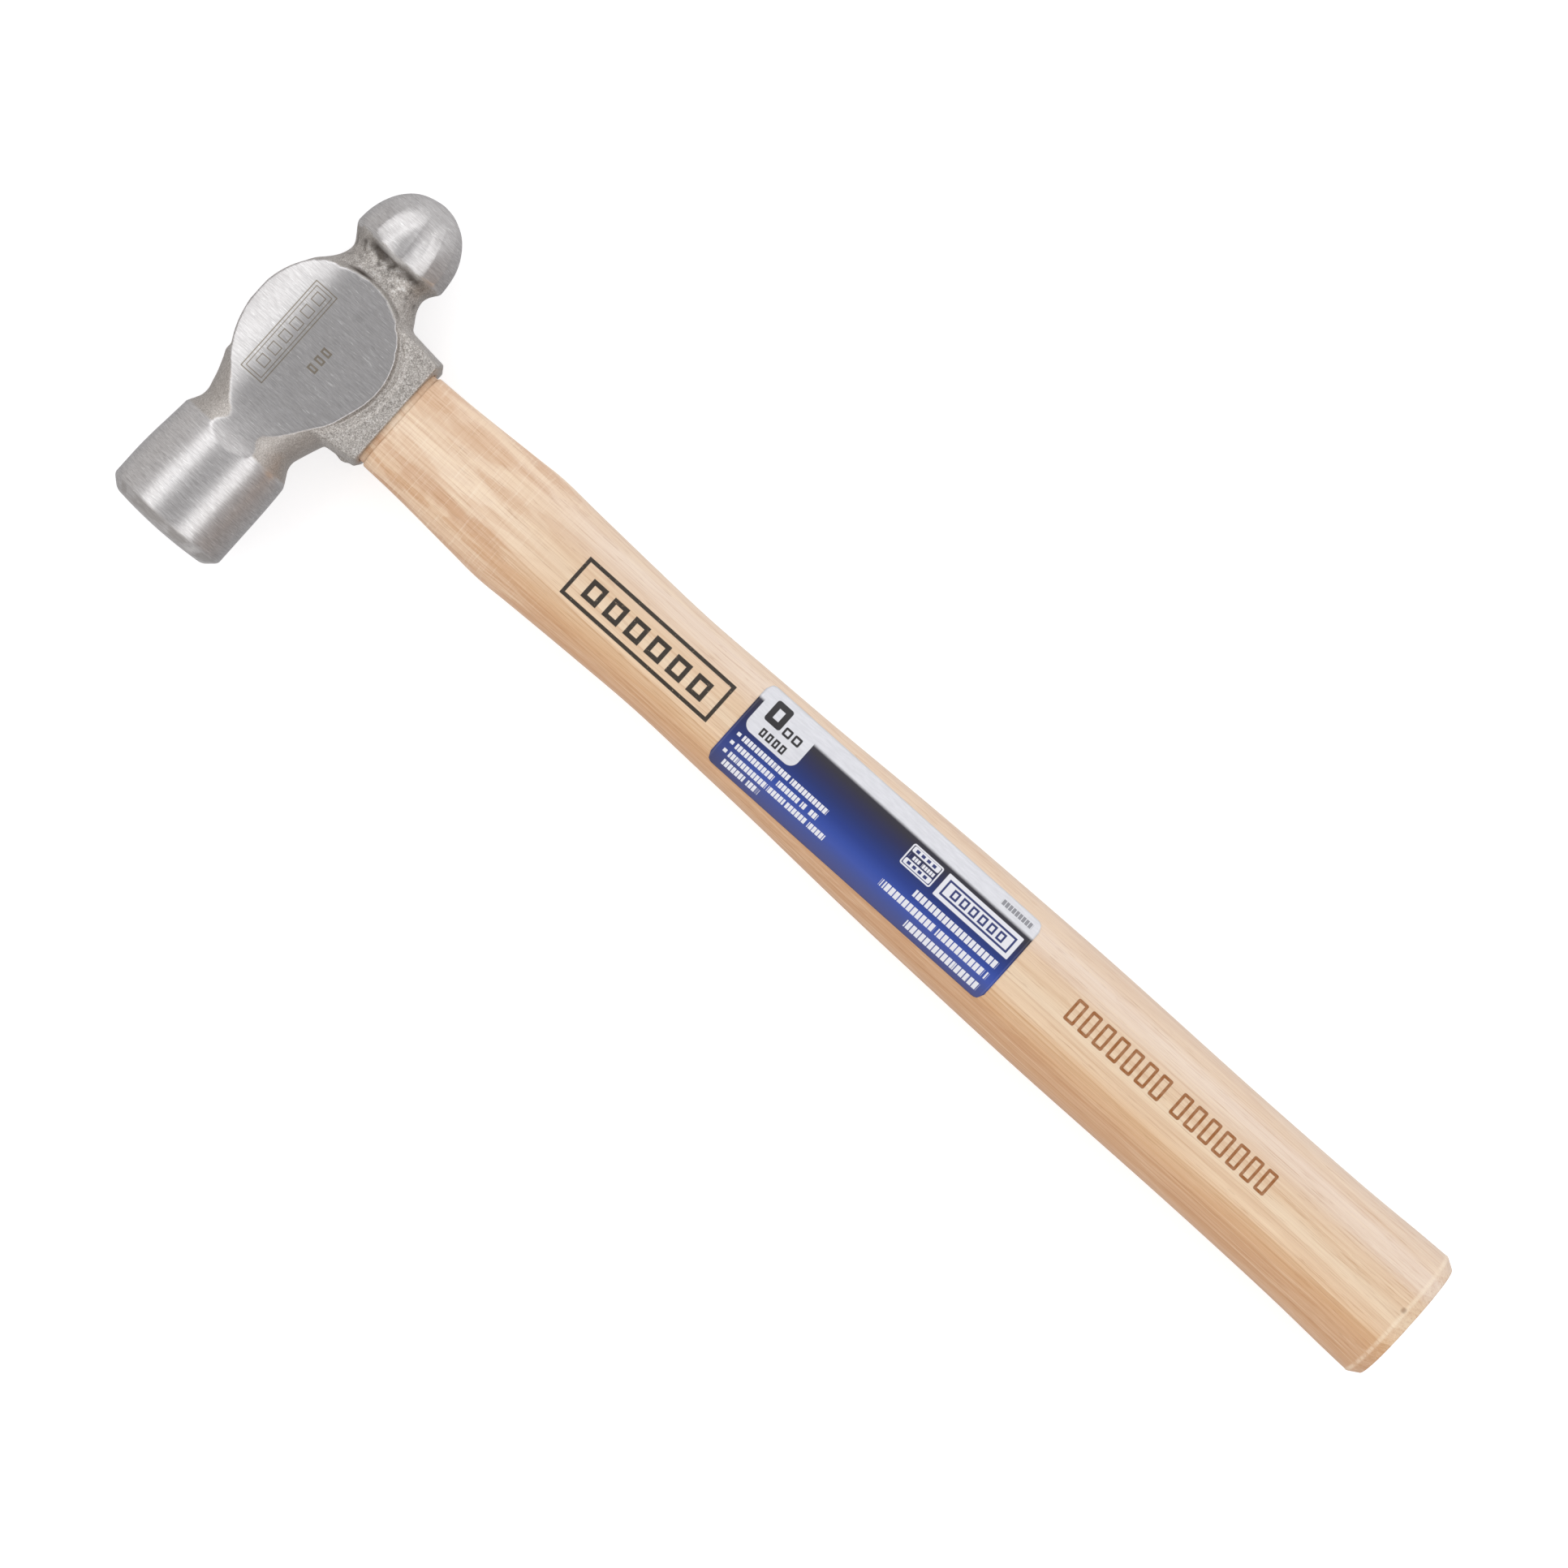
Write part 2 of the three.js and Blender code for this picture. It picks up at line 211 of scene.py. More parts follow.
def outside_cheek(x, y):
    """Millimetres outside the raised cheek's egg-shaped outline, less than 0 inside it."""
    right = smooth_step(-3, 3, x)
    half_x = 17.0 - 2.4 * right
    half_y = 15.4 - 0.5 * right
    centre_y = 0.1 + 0.7 * right
    return (np.hypot((x - 0.3) / half_x, (y - centre_y) / half_y) - 1) * 14.8


def from_arch(y):
    """Distance from the eye top's highest line, stretched towards the ball, where it falls faster."""
    off = y - TOP_ARCH_Y
    return off * np.where(off > 0, 1.08, 1)


def top_drop(y):
    """How far the eye top's arch has fallen away at y."""
    off = np.clip(from_arch(y), -17, 17)
    return TOP_ARCH_RADIUS - np.sqrt(TOP_ARCH_RADIUS ** 2 - off ** 2)


def boss_field(x, y, z):
    """The eye body under the cheeks: arched on top, round towards the collar."""
    depth = CHEEK_HALF - np.abs(z)
    arch = np.hypot(x - EYE_TOP_X - TOP_ARCH_RADIUS, from_arch(y)) - TOP_ARCH_RADIUS - 0.085 * depth
    draft = 1.8 * (1 - np.exp(-0.28 * np.clip(depth, 0, None)))
    # Grinding has left the cheek's edge ragged on the ball's side.
    turn = np.arctan2(y, x)
    ragged = 0.09 * np.sin(23 * turn) + 0.07 * np.sin(41 * turn + 2)
    rim = outside_cheek(x, y) - draft + ragged * smooth_step(6, 11, y)
    return smooth_max(smooth_max(arch, rim, 0.8), np.abs(z) - CHEEK_HALF - 1.0, 0.5)


def collar_field(x, y, z):
    """The skirt of the head round the handle's shoulder, left as forged."""
    depth = np.abs(z)
    upper = y - (14.4 - 0.09 * (x - 8)) + 0.12 * depth
    lower = -y - (13.6 - 0.13 * (x - 10)) + 0.12 * depth
    turn = np.arctan2(y, x)
    outside = outside_cheek(x, y) + 0.16 * np.sin(9 * turn + 1) + 0.1 * np.sin(17 * turn)
    valley = 0.22 * np.exp(-((outside - 0.65) / 0.5) ** 2)
    ridge = 0.34 * np.exp(-((outside - 1.9) / 0.5) ** 2)
    top = depth - COLLAR_HALF + 0.05 + valley - ridge
    sides = smooth_max(upper, lower, 0.6)
    sides = smooth_max(sides, x - COLLAR_END_X, 0.6)
    sides = smooth_max(sides, -x, 1.0)
    return smooth_max(sides, top, 0.7)


def cheek_plane(x, y):
    """Height of the ground cheek: flat, rolling off at the eye top and running out up the poll."""
    roll = 0.0150 * np.clip(-2.8 - x, 0, None) ** 2
    run = -23.8 - y
    run_out = 0.5 * (np.sqrt(run ** 2 + 2.9 ** 2) + run)
    return CHEEK_HALF - roll + run_out + 3 * np.clip(y - 19, 0, None)


def eye_half_sizes(x):
    """Half width and half thickness of the eye at x: narrow inside, wider at both mouths."""
    mouth = np.where(x > 2, (x - 2) / (COLLAR_END_X - 2), (2 - x) / (2 - EYE_TOP_X)) ** 2
    wide_y = np.where(x > 2, 10.7, 10.3)
    wide_z = np.where(x > 2, 7.5, 7.1)
    return 9.5 + (wide_y - 9.5) * mouth, 6.3 + (wide_z - 6.3) * mouth


def eye_field(x, y, z):
    """Millimetres outside the eye's wall, less than 0 in the eye."""
    half_y, half_z = eye_half_sizes(x)
    n = EYE_EXPONENT
    return ((np.abs(y) / half_y) ** n + (np.abs(z) / half_z) ** n) ** (1 / n) * 7.5 - 7.5


def flash_field(x, y, z):
    """A nub of flash left at the collar's corner on the parting line."""
    return (np.sqrt(((x - 17.3) / 1.3) ** 2 + ((y + 12.2) / 0.9) ** 2 + (z / 1.1) ** 2) - 1) * 0.9


def head_field(x, y, z):
    body = smooth_min(turned_field(x, y, z), boss_field(x, y, z), 1.0)
    body = smooth_min(body, collar_field(x, y, z), 0.7)
    body = smooth_min(body, flash_field(x, y, z), 0.5)
    # A groove runs along the cheek's edge towards the ball, and a deeper one under the ball's rim.
    outside = outside_cheek(x, y)
    beside = smooth_step(13.0, 15.0, y) * smooth_step(5, 7, np.abs(z))
    deep = 0.12 + 0.46 * np.exp(-((x + 2.2) / 2.8) ** 2) + 0.22 * smooth_step(0, 3, x)
    body = body + deep * np.exp(-((outside - 0.75) / 0.5) ** 2) * beside
    under = np.exp(-((y - 21.3) / 0.8) ** 2) * smooth_step(4, 8, np.abs(z))
    body = body + 0.14 * under
    body = smooth_max(body, np.abs(z) - cheek_plane(x, y), 0.12)
    return smooth_max(body, -eye_field(x, y, z), 0.5)


def field_gradient(field, points, step=0.02):
    columns = []
    for axis in range(3):
        shift = np.zeros(3)
        shift[axis] = step
        columns.append(field(*(points + shift).T) - field(*(points - shift).T))
    return np.stack(columns, axis=1) / (2 * step)


def surface_nets(field, low, high, step):
    """Points and quads of the surface where the field is zero."""
    axes = [np.arange(a, b + step, step) for a, b in zip(low, high)]
    values = field(*np.meshgrid(*axes, indexing="ij"))
    cells = tuple(n - 1 for n in values.shape)
    sums = np.zeros(cells + (3,))
    count = np.zeros(cells)
    crossings = []
    # Every cell that the surface passes through gets one point, the mean of its edges' crossings.
    for axis in range(3):
        near = np.moveaxis(values, axis, 0)[:-1]
        far = np.moveaxis(values, axis, 0)[1:]
        crossed = (near < 0) != (far < 0)
        share = np.where(crossed, near / np.where(crossed, near - far, 1), 0)
        crossings.append((crossed, near < 0))
        side_axes = [a for a in range(3) if a != axis]
        moved_sums = np.moveaxis(sums, axis, 0)
        moved_count = np.moveaxis(count, axis, 0)
        sizes = [cells[a] for a in side_axes]
        for da, db in product((0, 1), (0, 1)):
            window = (slice(None), slice(da, da + sizes[0]), slice(db, db + sizes[1]))
            moved_sums[..., axis] += share[window]
            moved_sums[..., side_axes[0]] += crossed[window] * da
            moved_sums[..., side_axes[1]] += crossed[window] * db
            moved_count += crossed[window]
    used = count > 0
    index = np.full(cells, -1)
    index[used] = np.arange(used.sum())
    corner = np.stack(np.nonzero(used), axis=1)
    points = np.asarray(low) + (corner + sums[used] / count[used][:, None]) * step
    quads = []
    # Every crossed edge gets a quad between the points of the four cells round it.
    for axis, (crossed, starts_inside) in enumerate(crossings):
        second, third = (axis + 1) % 3, (axis + 2) % 3
        order = [axis] + [a for a in range(3) if a != axis]
        i = np.stack(np.nonzero(crossed), axis=1)
        spot = np.empty_like(i)
        for column, a in enumerate(order):
            spot[:, a] = i[:, column]
        ring = []
        for db, dc in ((-1, -1), (0, -1), (0, 0), (-1, 0)):
            cell = spot.copy()
            cell[:, second] += db
            cell[:, third] += dc
            ring.append(index[cell[:, 0], cell[:, 1], cell[:, 2]])
        quad = np.stack(ring, axis=1)
        flip = ~starts_inside[crossed]
        quad[flip] = quad[flip][:, ::-1]
        quads.append(quad)
    return points, np.vstack(quads)


def settle_on(field, points, rounds=4):
    """Moves points along the gradient until they lie on the field's surface."""
    for _ in range(rounds):
        slope = field_gradient(field, points)
        size = np.clip((slope ** 2).sum(1), 0.15, None)
        points = points - slope * (field(*points.T) / size)[:, None]
    return points


def pebble(points, size, octaves, seed):
    """Smooth noise at each point, about -1 to 1."""
    spots = points / size + seed
    return np.array([noise.fractal(Vector(p), 1.0, 2.0, octaves) for p in spots])


# ------------------------------------------------------------------ meshes

def new_object(name, points, faces, material):
    mesh = bpy.data.meshes.new(name)
    mesh.from_pydata(to_row(points).tolist(), [], [tuple(face) for face in faces])
    mesh.update()
    mesh.shade_smooth()
    mesh.materials.append(material)
    piece = bpy.data.objects.new(name, mesh)
    bpy.context.scene.collection.objects.link(piece)
    return piece


def store(piece, name, values):
    layer = piece.data.attributes.new(name, "FLOAT", "POINT")
    layer.data.foreach_set("value", np.asarray(values, np.float32))


def ground_share(points):
    """1 where the head is ground bright, 0 where it is as forged."""
    x, y, z = points.T
    on_cheek = smooth_step(-0.06, -0.02, np.abs(z) - cheek_plane(x, y))
    on_poll = 1 - smooth_step(POLL_BACK_Y - 0.1, POLL_BACK_Y + 0.25, y)
    wobble = 0.5 * pebble(points * [1, 0, 1] + [0, 30, 0], 2.2, 3, 11.0)
    on_ball = smooth_step(BALL_RIM_Y - 0.75, BALL_RIM_Y - 0.25, y + wobble)
    in_eye = eye_field(x, y, z) < 0.25
    share = np.maximum.reduce([on_cheek * (y < 18), on_poll, on_ball])
    return np.where(in_eye & (np.abs(y) < 12), 0, share)


def overhang_shade_share(points):
    """Painted shade under the ball's rim and round the cheek's edge beside it, in patches, with dark
    flecks on the neck between them.
    """
    x, y, z = points.T
    patchy = 0.5 + 0.5 * pebble(points + [0, 0, 40], 1.9, 2, 9.0)
    outside = outside_cheek(x, y)
    drift = 0.35 * pebble(points * [1, 0, 1] + [0, 50, 0], 2.8, 2, 4.0)
    heavy = 0.5 + 0.5 * pebble(points * [1, 0.3, 1] + [0, 70, 0], 3.4, 2, 6.0)
    # The heaviest patches sit a little to the eye top's side of the middle.
    middle = np.exp(-((x + 2.2) / 2.4) ** 2)
    rim = np.exp(-((y - 21.4 - drift) / 1.15) ** 4)
    rim *= 0.08 + 0.2 * heavy + 1.1 * middle + 0.65 * np.exp(-((x - 4.4) / 2.6) ** 2)
    edge = np.exp(-((outside - 0.7) / 0.5) ** 2) * smooth_step(12, 15, y) * smooth_step(4, 7, np.abs(z))
    edge *= 0.08 + 1.0 * middle + 0.5 * smooth_step(1, 4, x) * patchy
    flecks = smooth_step(0.55, 0.9, patchy) * smooth_step(16.4, 18.0, y) * smooth_step(22, 21, y)
    return np.clip(rim + edge + 0.7 * flecks, 0, 1)


def surface_depth(points, ground, lumps):
    """How far the surface stands off the plain shape: forged swells, and flats left by grinding."""
    y = points[:, 1]
    swell = pebble(points, 4.2, 2, 7.0)
    facets = pebble(points * [1, 0.35, 1], 2.3, 1, 5.0)
    on_chamfer = (y < -42.6) & (np.hypot(points[:, 0], points[:, 2]) > 10.9)
    amount = np.select([y > BALL_RIM_Y - 1, on_chamfer, y < -43], [0.09, 0.045, 0.022], 0.014)
    depth = (0.008 * lumps + 0.055 * swell) * (1 - ground) + ground * facets * amount
    in_eye = (eye_field(*points.T) < 0.3) & (np.abs(y) < 12)
    return np.where(in_eye, 0, depth)


def make_head(material):
    low = (EYE_TOP_X - 2.2, FACE_Y - 1, -POLL_RADIUS - 1)
    high = (COLLAR_END_X + 1.2, BALL_TIP_Y + 1, POLL_RADIUS + 1)
    step = 0.33
    points, quads = surface_nets(head_field, low, high, step)
    points = settle_on(head_field, points)
    normal = field_gradient(head_field, points)
    normal /= np.linalg.norm(normal, axis=1)[:, None] + 1e-9
    ground = ground_share(points)
    lumps = pebble(points, 0.9, 3, 3.0)
    # The field a little way out tells hollows, above 0, from ridges, below 0.
    hollow = 1 - head_field(*(points + 0.8 * normal).T) / 0.8
    points = points + normal * surface_depth(points, ground, lumps)[:, None]
    points[:, 0] = np.clip(points[:, 0], None, COLLAR_END_X)
    head = new_object("forged_head", points, quads, material)
    store(head, "ground", ground)
    store(head, "lumps", lumps)
    store(head, "rim_shade", overhang_shade_share(points))
    store(head, "hollow", np.clip(hollow, -1, 1))
    return head


def handle_size(x):
    """Half width, half thickness and section exponent of the handle at x."""
    return tuple(np.interp(x, HANDLE_CURVE[:, 0], HANDLE_CURVE[:, k]) for k in (1, 2, 3))


def oval(angle, half_y, half_z, exponent):
    c, s = np.cos(angle), np.sin(angle)
    reach = (np.abs(c) ** exponent + np.abs(s) ** exponent) ** (-1 / exponent)
    return half_y * c * reach, half_z * s * reach


def handle_rings():
    """(x, half_y, half_z, exponent) of every ring, from the tenon's end to the butt."""
    rings = []
    for x in np.linspace(TENON_END_X, SHOULDER_X - 0.9, 46):
        half_y, half_z = eye_half_sizes(x)
        rings.append((x, half_y - 0.05, half_z - 0.05, EYE_EXPONENT))
    start_y, start_z, start_n = handle_size(SHOULDER_X)
    # The collar has pressed a narrow band into the shoulder.
    rings += [(SHOULDER_X + along, start_y - 0.42, start_z - 0.42, start_n) for along in (0, 0.5, 0.9)]
    for turn in np.linspace(0, 1, 7):
        drop = (1 - np.sin(turn * np.pi / 2)) * 0.38
        rings.append((SHOULDER_X + 1.0 + 0.35 * turn, start_y - drop, start_z - drop, start_n))
    for x in np.arange(SHOULDER_X + 1.9, BUTT_X - BUTT_DOME - BUTT_CHAMFER - 0.1, 0.6):
        rings.append((x, *handle_size(x)))
    # A flat chamfer with barely eased edges leads to a slightly domed end.
    end_y, end_z, end_n = handle_size(BUTT_X)
    start = BUTT_X - BUTT_DOME - BUTT_CHAMFER
    for turn in np.linspace(0, 1, 14):
        drop = smooth_max(np.array(0.0), np.array(turn * 1.25 - 0.04), 0.12) * 1.1
        rings.append((start + BUTT_CHAMFER * turn, end_y - drop, end_z - drop, end_n))
    edge_y, edge_z = rings[-1][1:3]
    for turn in np.linspace(0.03, 1, 12):
        share = 1 - 0.9 * turn
        rings.append((BUTT_X - BUTT_DOME * share ** 2, edge_y * share, edge_z * share, end_n))
    return rings


def arched(points):
    """Bends the tenon's end to the eye top's arch."""
    points[:, 0] += top_drop(points[:, 1]) * smooth_step(-2, TENON_END_X, points[:, 0])
    return points


def make_handle(material):
    sides = 128
    angles = np.linspace(0, 2 * np.pi, sides, endpoint=False)
    rings = handle_rings()
    points = []
    for x, half_y, half_z, exponent in rings:
        y, z = oval(angles, half_y, half_z, exponent)
        points.append(np.stack([np.full(sides, x), y, z], axis=1))
    points, faces = skin_rings(np.vstack(points), len(rings), sides)
    return new_object("hickory_handle", arched(points), faces, material)


def skin_rings(points, count, sides):
    """Closed skin over rings of points, with both ends filled."""
    faces = []
    around = np.arange(sides)
    onward = (around + 1) % sides
    for ring in range(count - 1):
        a, b = ring * sides, (ring + 1) * sides
        faces.append(np.stack([a + around, a + onward, b + onward, b + around], axis=1))
    faces = np.vstack(faces).tolist()
    for end, first in ((0, 0), (1, (count - 1) * sides)):
        points, faces = close_end(points, faces, first, sides, inward=end)
    return points, faces


def close_end(points, faces, first, sides, inward):
    """Fills the ring that starts at point number first with shrinking rings and a fan."""
    edge = points[first:first + sides]
    middle = edge.mean(axis=0)
    around = np.arange(sides)
    onward = (around + 1) % sides
    previous = first
    added = []
    for share in (0.97, 0.9, 0.75, 0.6, 0.45, 0.3, 0.15):
        start = len(points) + len(added) * sides
        added.append(middle + (edge - middle) * share)
        quad = [previous + around, start + around, start + onward, previous + onward]
        quad = np.stack(quad if not inward else quad[::-1], axis=1)
        faces = faces + quad.tolist()
        previous = start
    points = np.vstack([points, *added, middle[None]])
    tip = len(points) - 1
    for k in range(sides):
        fan = (previous + k, tip, previous + (k + 1) % sides)
        faces.append(fan if not inward else fan[::-1])
    return points, faces


# ------------------------------------------------------------------ shader helpers

def paint(red, green, blue):
    """Display colour 0-255 as a linear colour."""
    shares = [value / 255 for value in (red, green, blue)]
    return (*[v / 12.92 if v <= 0.04045 else ((v + 0.055) / 1.055) ** 2.4 for v in shares], 1)


class Shader:
    """A node material written with short calls."""

    def __init__(self, name):
        self.material = bpy.data.materials.new(name)
        self.material.use_nodes = True
        self.tree = self.material.node_tree
        self.tree.nodes.clear()
        self.output = self.tree.nodes.new("ShaderNodeOutputMaterial")
        place = self.node("TexCoord").outputs["Object"]
        place = self.vector("SUBTRACT", place, tuple(ORIGIN))
        self.place = self.vector("MULTIPLY", place, (1 / MM,) * 3)
        self.x, self.y, self.z = self.node("SeparateXYZ", {0: self.place}).outputs

    def node(self, kind, inputs=None, **settings):
        made = self.tree.nodes.new("ShaderNode" + kind)
        for key, value in settings.items():
            setattr(made, key, value)
        for key, value in (inputs or {}).items():
            self.feed(made.inputs[key], value)
        return made

    def feed(self, socket, value):
        if isinstance(value, bpy.types.NodeSocket):
            self.tree.links.new(value, socket)
        else:
            socket.default_value = value

    def stored(self, name):
        """A value stored on the mesh's points."""
        return self.node("Attribute", attribute_name=name).outputs["Fac"]

    def math(self, operation, *values, clamp=False):
        made = self.node("Math", dict(enumerate(values)), operation=operation, use_clamp=clamp)
        return made.outputs[0]

    def vector(self, operation, *values):
        made = self.node("VectorMath", dict(enumerate(values)), operation=operation)
        return made.outputs["Value" if operation == "LENGTH" else "Vector"]

    def step(self, value, low, high):
        """0 below low, 1 above high, smooth between. Low may be the larger, which turns it round."""
        made = self.node("MapRange", {"Value": value, "From Min": low, "From Max": high},
                         interpolation_type="SMOOTHSTEP")
        return made.outputs["Result"]

    def between(self, value, low, high, soft):
        """1 from low to high, with soft edges."""
        up = self.step(value, low - soft, low + soft)
        return self.times(up, self.step(value, high + soft, high - soft))

    def noise(self, scale, detail=2, roughness=0.5, distortion=0, offset=(0, 0, 0)):
        """Noise from 0 to 1. Scale is how many lumps there are in a millimetre along each axis."""
        place = self.vector("MULTIPLY_ADD", self.place, scale, offset)
        settings = {"Vector": place, "Scale": 1, "Detail": detail, "Roughness": roughness,
                    "Distortion": distortion}
        return self.node("TexNoise", settings).outputs["Fac"]

    def ramp(self, value, stops):
        made = self.node("ValToRGB", {"Fac": value})
        points = made.color_ramp.elements
        while len(points) < len(stops):
            points.new(0.5)
        for point, (position, colour) in zip(points, stops):
            point.position = position
            point.color = colour
        return made.outputs["Color"]

    def mix(self, share, first, second, kind="RGBA"):
        made = self.node("Mix", {"Factor": share, "A": first, "B": second}, data_type=kind)
        return made.outputs["Result"]

    def times(self, *values):
        """The values multiplied together."""
        result = values[0]
        for value in values[1:]:
            result = self.math("MULTIPLY", result, value)
        return result

    def tint(self, base, colour, *shares):
        """The base with a colour laid over it, as strong as the shares multiplied."""
        return self.mix(self.times(*shares), base, colour)

    def box(self, low, high, corner=0.0, soft=0.06):
        """1 inside the rounded rectangle from low to high in x and y."""
        corner = max(corner, soft)
        middle = (np.array(low) + high) / 2
        half = (np.array(high) - low) / 2 - corner
        away = self.vector("ABSOLUTE", self.vector("SUBTRACT", self.place, (*middle, 0)))
        away = self.vector("MULTIPLY", away, (1, 1, 0))
        away = self.vector("MAXIMUM", self.vector("SUBTRACT", away, (*half, 0)), (0, 0, 0))
        return self.step(self.vector("LENGTH", away), corner + soft, corner - soft)

    def frame(self, low, high, width, corner=0.0):
        """The outline of that rectangle, width thick inwards."""
        inner = self.box(np.array(low) + width, np.array(high) - width, max(corner - width, 0))
        return self.math("SUBTRACT", self.box(low, high, corner), inner, clamp=True)

    def bump(self, height, distance):
        inputs = {"Height": height, "Distance": distance * MM, "Strength": 1.0}
        return self.node("Bump", inputs).outputs["Normal"]

    def finish(self, **inputs):
        surface = self.node("BsdfPrincipled", inputs)
        self.tree.links.new(surface.outputs[0], self.output.inputs["Surface"])
        return self.material


def named(**inputs):
    """Keyword names to socket names: base_color becomes Base Color."""
    special = {"ior": "IOR"}
    return {special.get(key, key.replace("_", " ").title()): value for key, value in inputs.items()}


def total(shader, masks):
    """Any of the masks."""
    result = masks[0]
    for mask in masks[1:]:
        result = shader.math("MAXIMUM", result, mask)
    return result


# ------------------------------------------------------------------ materials

def ground_metal(s, streak, on_cheek, on_ball):
    """Ground steel: pale with faint brush lines and scuffs, the cheeks painted darker as painted shade."""
    scuff = s.noise((0.45, 3.4, 0.45), 4, 0.75, 0.3, offset=(1, 8, 5))
    bright = s.ramp(streak, [(0.3, paint(181, 179, 179)), (0.5, paint(209, 207, 207)),
                             (0.70, paint(233, 232, 232))])
    # Painted shade: the cheek is tinted darker than the poll, least on its eye-top side, which mirrors the
    # left strip light.
    cheek_shade = s.math("MULTIPLY_ADD", s.step(s.x, -8, -3), 0.14, 0.12)
    bright = s.tint(bright, paint(150, 150, 152), on_cheek, s.step(s.y, -20, -14), cheek_shade)
    bright = s.tint(bright, paint(150, 149, 148), on_ball, 0.08)
    bright = s.tint(bright, paint(254, 254, 254), s.step(scuff, 0.56, 0.70), 0.6)
    return s.tint(bright, paint(164, 164, 168), s.step(scuff, 0.44, 0.30), 0.4)


def forged_skin(s, grit):
    """Skin left by the dies: grey and speckled, with painted shade in its hollows and pale on its ridges.
    """
    hollow = s.stored("hollow")
    speck = s.math("ADD", s.times(grit, 0.92), s.times(s.stored("lumps"), 0.05))
    skin = s.ramp(speck, [(0.30, paint(148, 142, 137)), (0.47, paint(201, 196, 191)),
                          (0.66, paint(248, 245, 242))])
    # The neck behind the poll is smoother than that, the collar rougher.
    skin = s.tint(skin, paint(199, 193, 188), s.step(s.y, -11.5, -14), 0.35)
    on_collar = s.times(s.step(s.x, 10.5, 13), s.between(s.y, -13.2, 14.2, 0.6))
    knob = s.noise((2.9, 2.9, 2.9), 3, 0.65, offset=(4, 7, 3))
    skin = s.tint(skin, paint(112, 105, 98), s.step(knob, 0.48, 0.32), on_collar, 0.46)
    skin = s.tint(skin, paint(253, 252, 251), s.step(knob, 0.56, 0.70), on_collar, 0.6)
    # Painted shade in the hollows, weaker on the collar.
    hollow_shade_strength = s.math("MULTIPLY_ADD", s.step(s.x, 8, 12), -0.25, 0.5)
    skin = s.tint(skin, paint(84, 77, 70), s.step(hollow, 0.14, 0.6), hollow_shade_strength)
    # The ball's neck is blotchy: dull scale with bare metal showing through.
    blot = s.noise((0.85, 1.0, 0.85), 3, 0.6, offset=(5, 5, 1))
    neck = s.times(s.between(s.y, 16.6, 21.6, 1.2), s.between(s.x, -5.5, 7.5, 2.0))
    skin = s.tint(skin, paint(96, 90, 84), s.step(blot, 0.47, 0.34), neck, 0.45)
    skin = s.tint(skin, paint(253, 252, 251), s.step(blot, 0.53, 0.66), neck, 0.6)
    # Painted shade under the ball's rim and along the cheek's edge, in patches.
    patchy = s.math("MULTIPLY_ADD", grit, 0.8, 0.42, clamp=True)
    skin = s.tint(skin, paint(74, 66, 60), s.stored("rim_shade"), patchy)
    return s.tint(skin, paint(252, 251, 250), s.step(hollow, -0.12, -0.5), 0.6)


def steel_material():
    """Forged steel: ground zones bright and brushed, the rest pebbled and darker."""
    s = Shader("forged_steel")
    ground = s.stored("ground")
    on_poll = s.step(s.y, -23.5, -25.0)
    on_ball = s.step(s.y, 21, 23)
    on_cheek = s.math("SUBTRACT", s.math("SUBTRACT", 1.0, on_poll), on_ball)
    fine = s.noise((0.5, 7.0, 0.5), 3, 0.65)
    coarse = s.noise((0.12, 2.6, 0.12), 2, 0.5, offset=(3, 1, 7))
    streak = s.math("ADD", s.times(fine, 0.75), s.times(coarse, 0.25))
    grit = s.noise((4.0, 4.0, 4.0), 3, 0.75)
    base = s.mix(ground, forged_skin(s, grit), ground_metal(s, streak, on_cheek, on_ball))
    cloud = s.noise((0.22, 0.22, 0.22), 3, 0.6, offset=(9, 2, 4))
    base = s.tint(base, paint(170, 166, 164), s.step(cloud, 0.5, 0.75), 0.15)
    # The face's chamfer is painted paler and darker in patches, as painted reflections of its ground
    # facets.
    wear_and_sheen = s.noise((0.17, 0.1, 0.17), 3, 0.5, offset=(6, 0, 2))
    on_chamfer = s.between(s.y, -45.0, -43.3, 0.3)
    base = s.tint(base, paint(252, 251, 250), s.step(wear_and_sheen, 0.52, 0.62), on_chamfer, 0.4)
    base = s.tint(base, paint(160, 155, 151), s.step(wear_and_sheen, 0.52, 0.42), on_chamfer, 0.5)
    etched = cheek_marks(s)
    base = s.tint(base, paint(132, 121, 103), etched, 0.8)
    ground_rough = s.math("MULTIPLY_ADD", streak, 0.16, 0.26)
    ground_rough = s.math("MULTIPLY_ADD", s.math("SUBTRACT", 1.0, on_cheek), 0.04, ground_rough)
    skin_rough = s.math("MULTIPLY_ADD", grit, 0.2, 0.46)
    rough = s.mix(ground, skin_rough, ground_rough, "FLOAT")
    rough = s.math("MULTIPLY_ADD", etched, 0.15, rough)
    mottle = s.noise((2.4, 3.0, 2.4), 2, 0.6, offset=(2, 2, 9))
    brushed = s.bump(s.math("ADD", streak, s.times(mottle, 0.7)), 0.018)
    pebbled = s.bump(grit, 0.045)
    normal = s.mix(ground, pebbled, brushed, "VECTOR")
    tangent = s.node("Tangent", direction_type="RADIAL", axis="Y").outputs[0]
    return s.finish(**named(base_color=base, metallic=1.0, roughness=rough, normal=normal,
                            anisotropic=0.5, anisotropic_rotation=0.25, tangent=tangent))


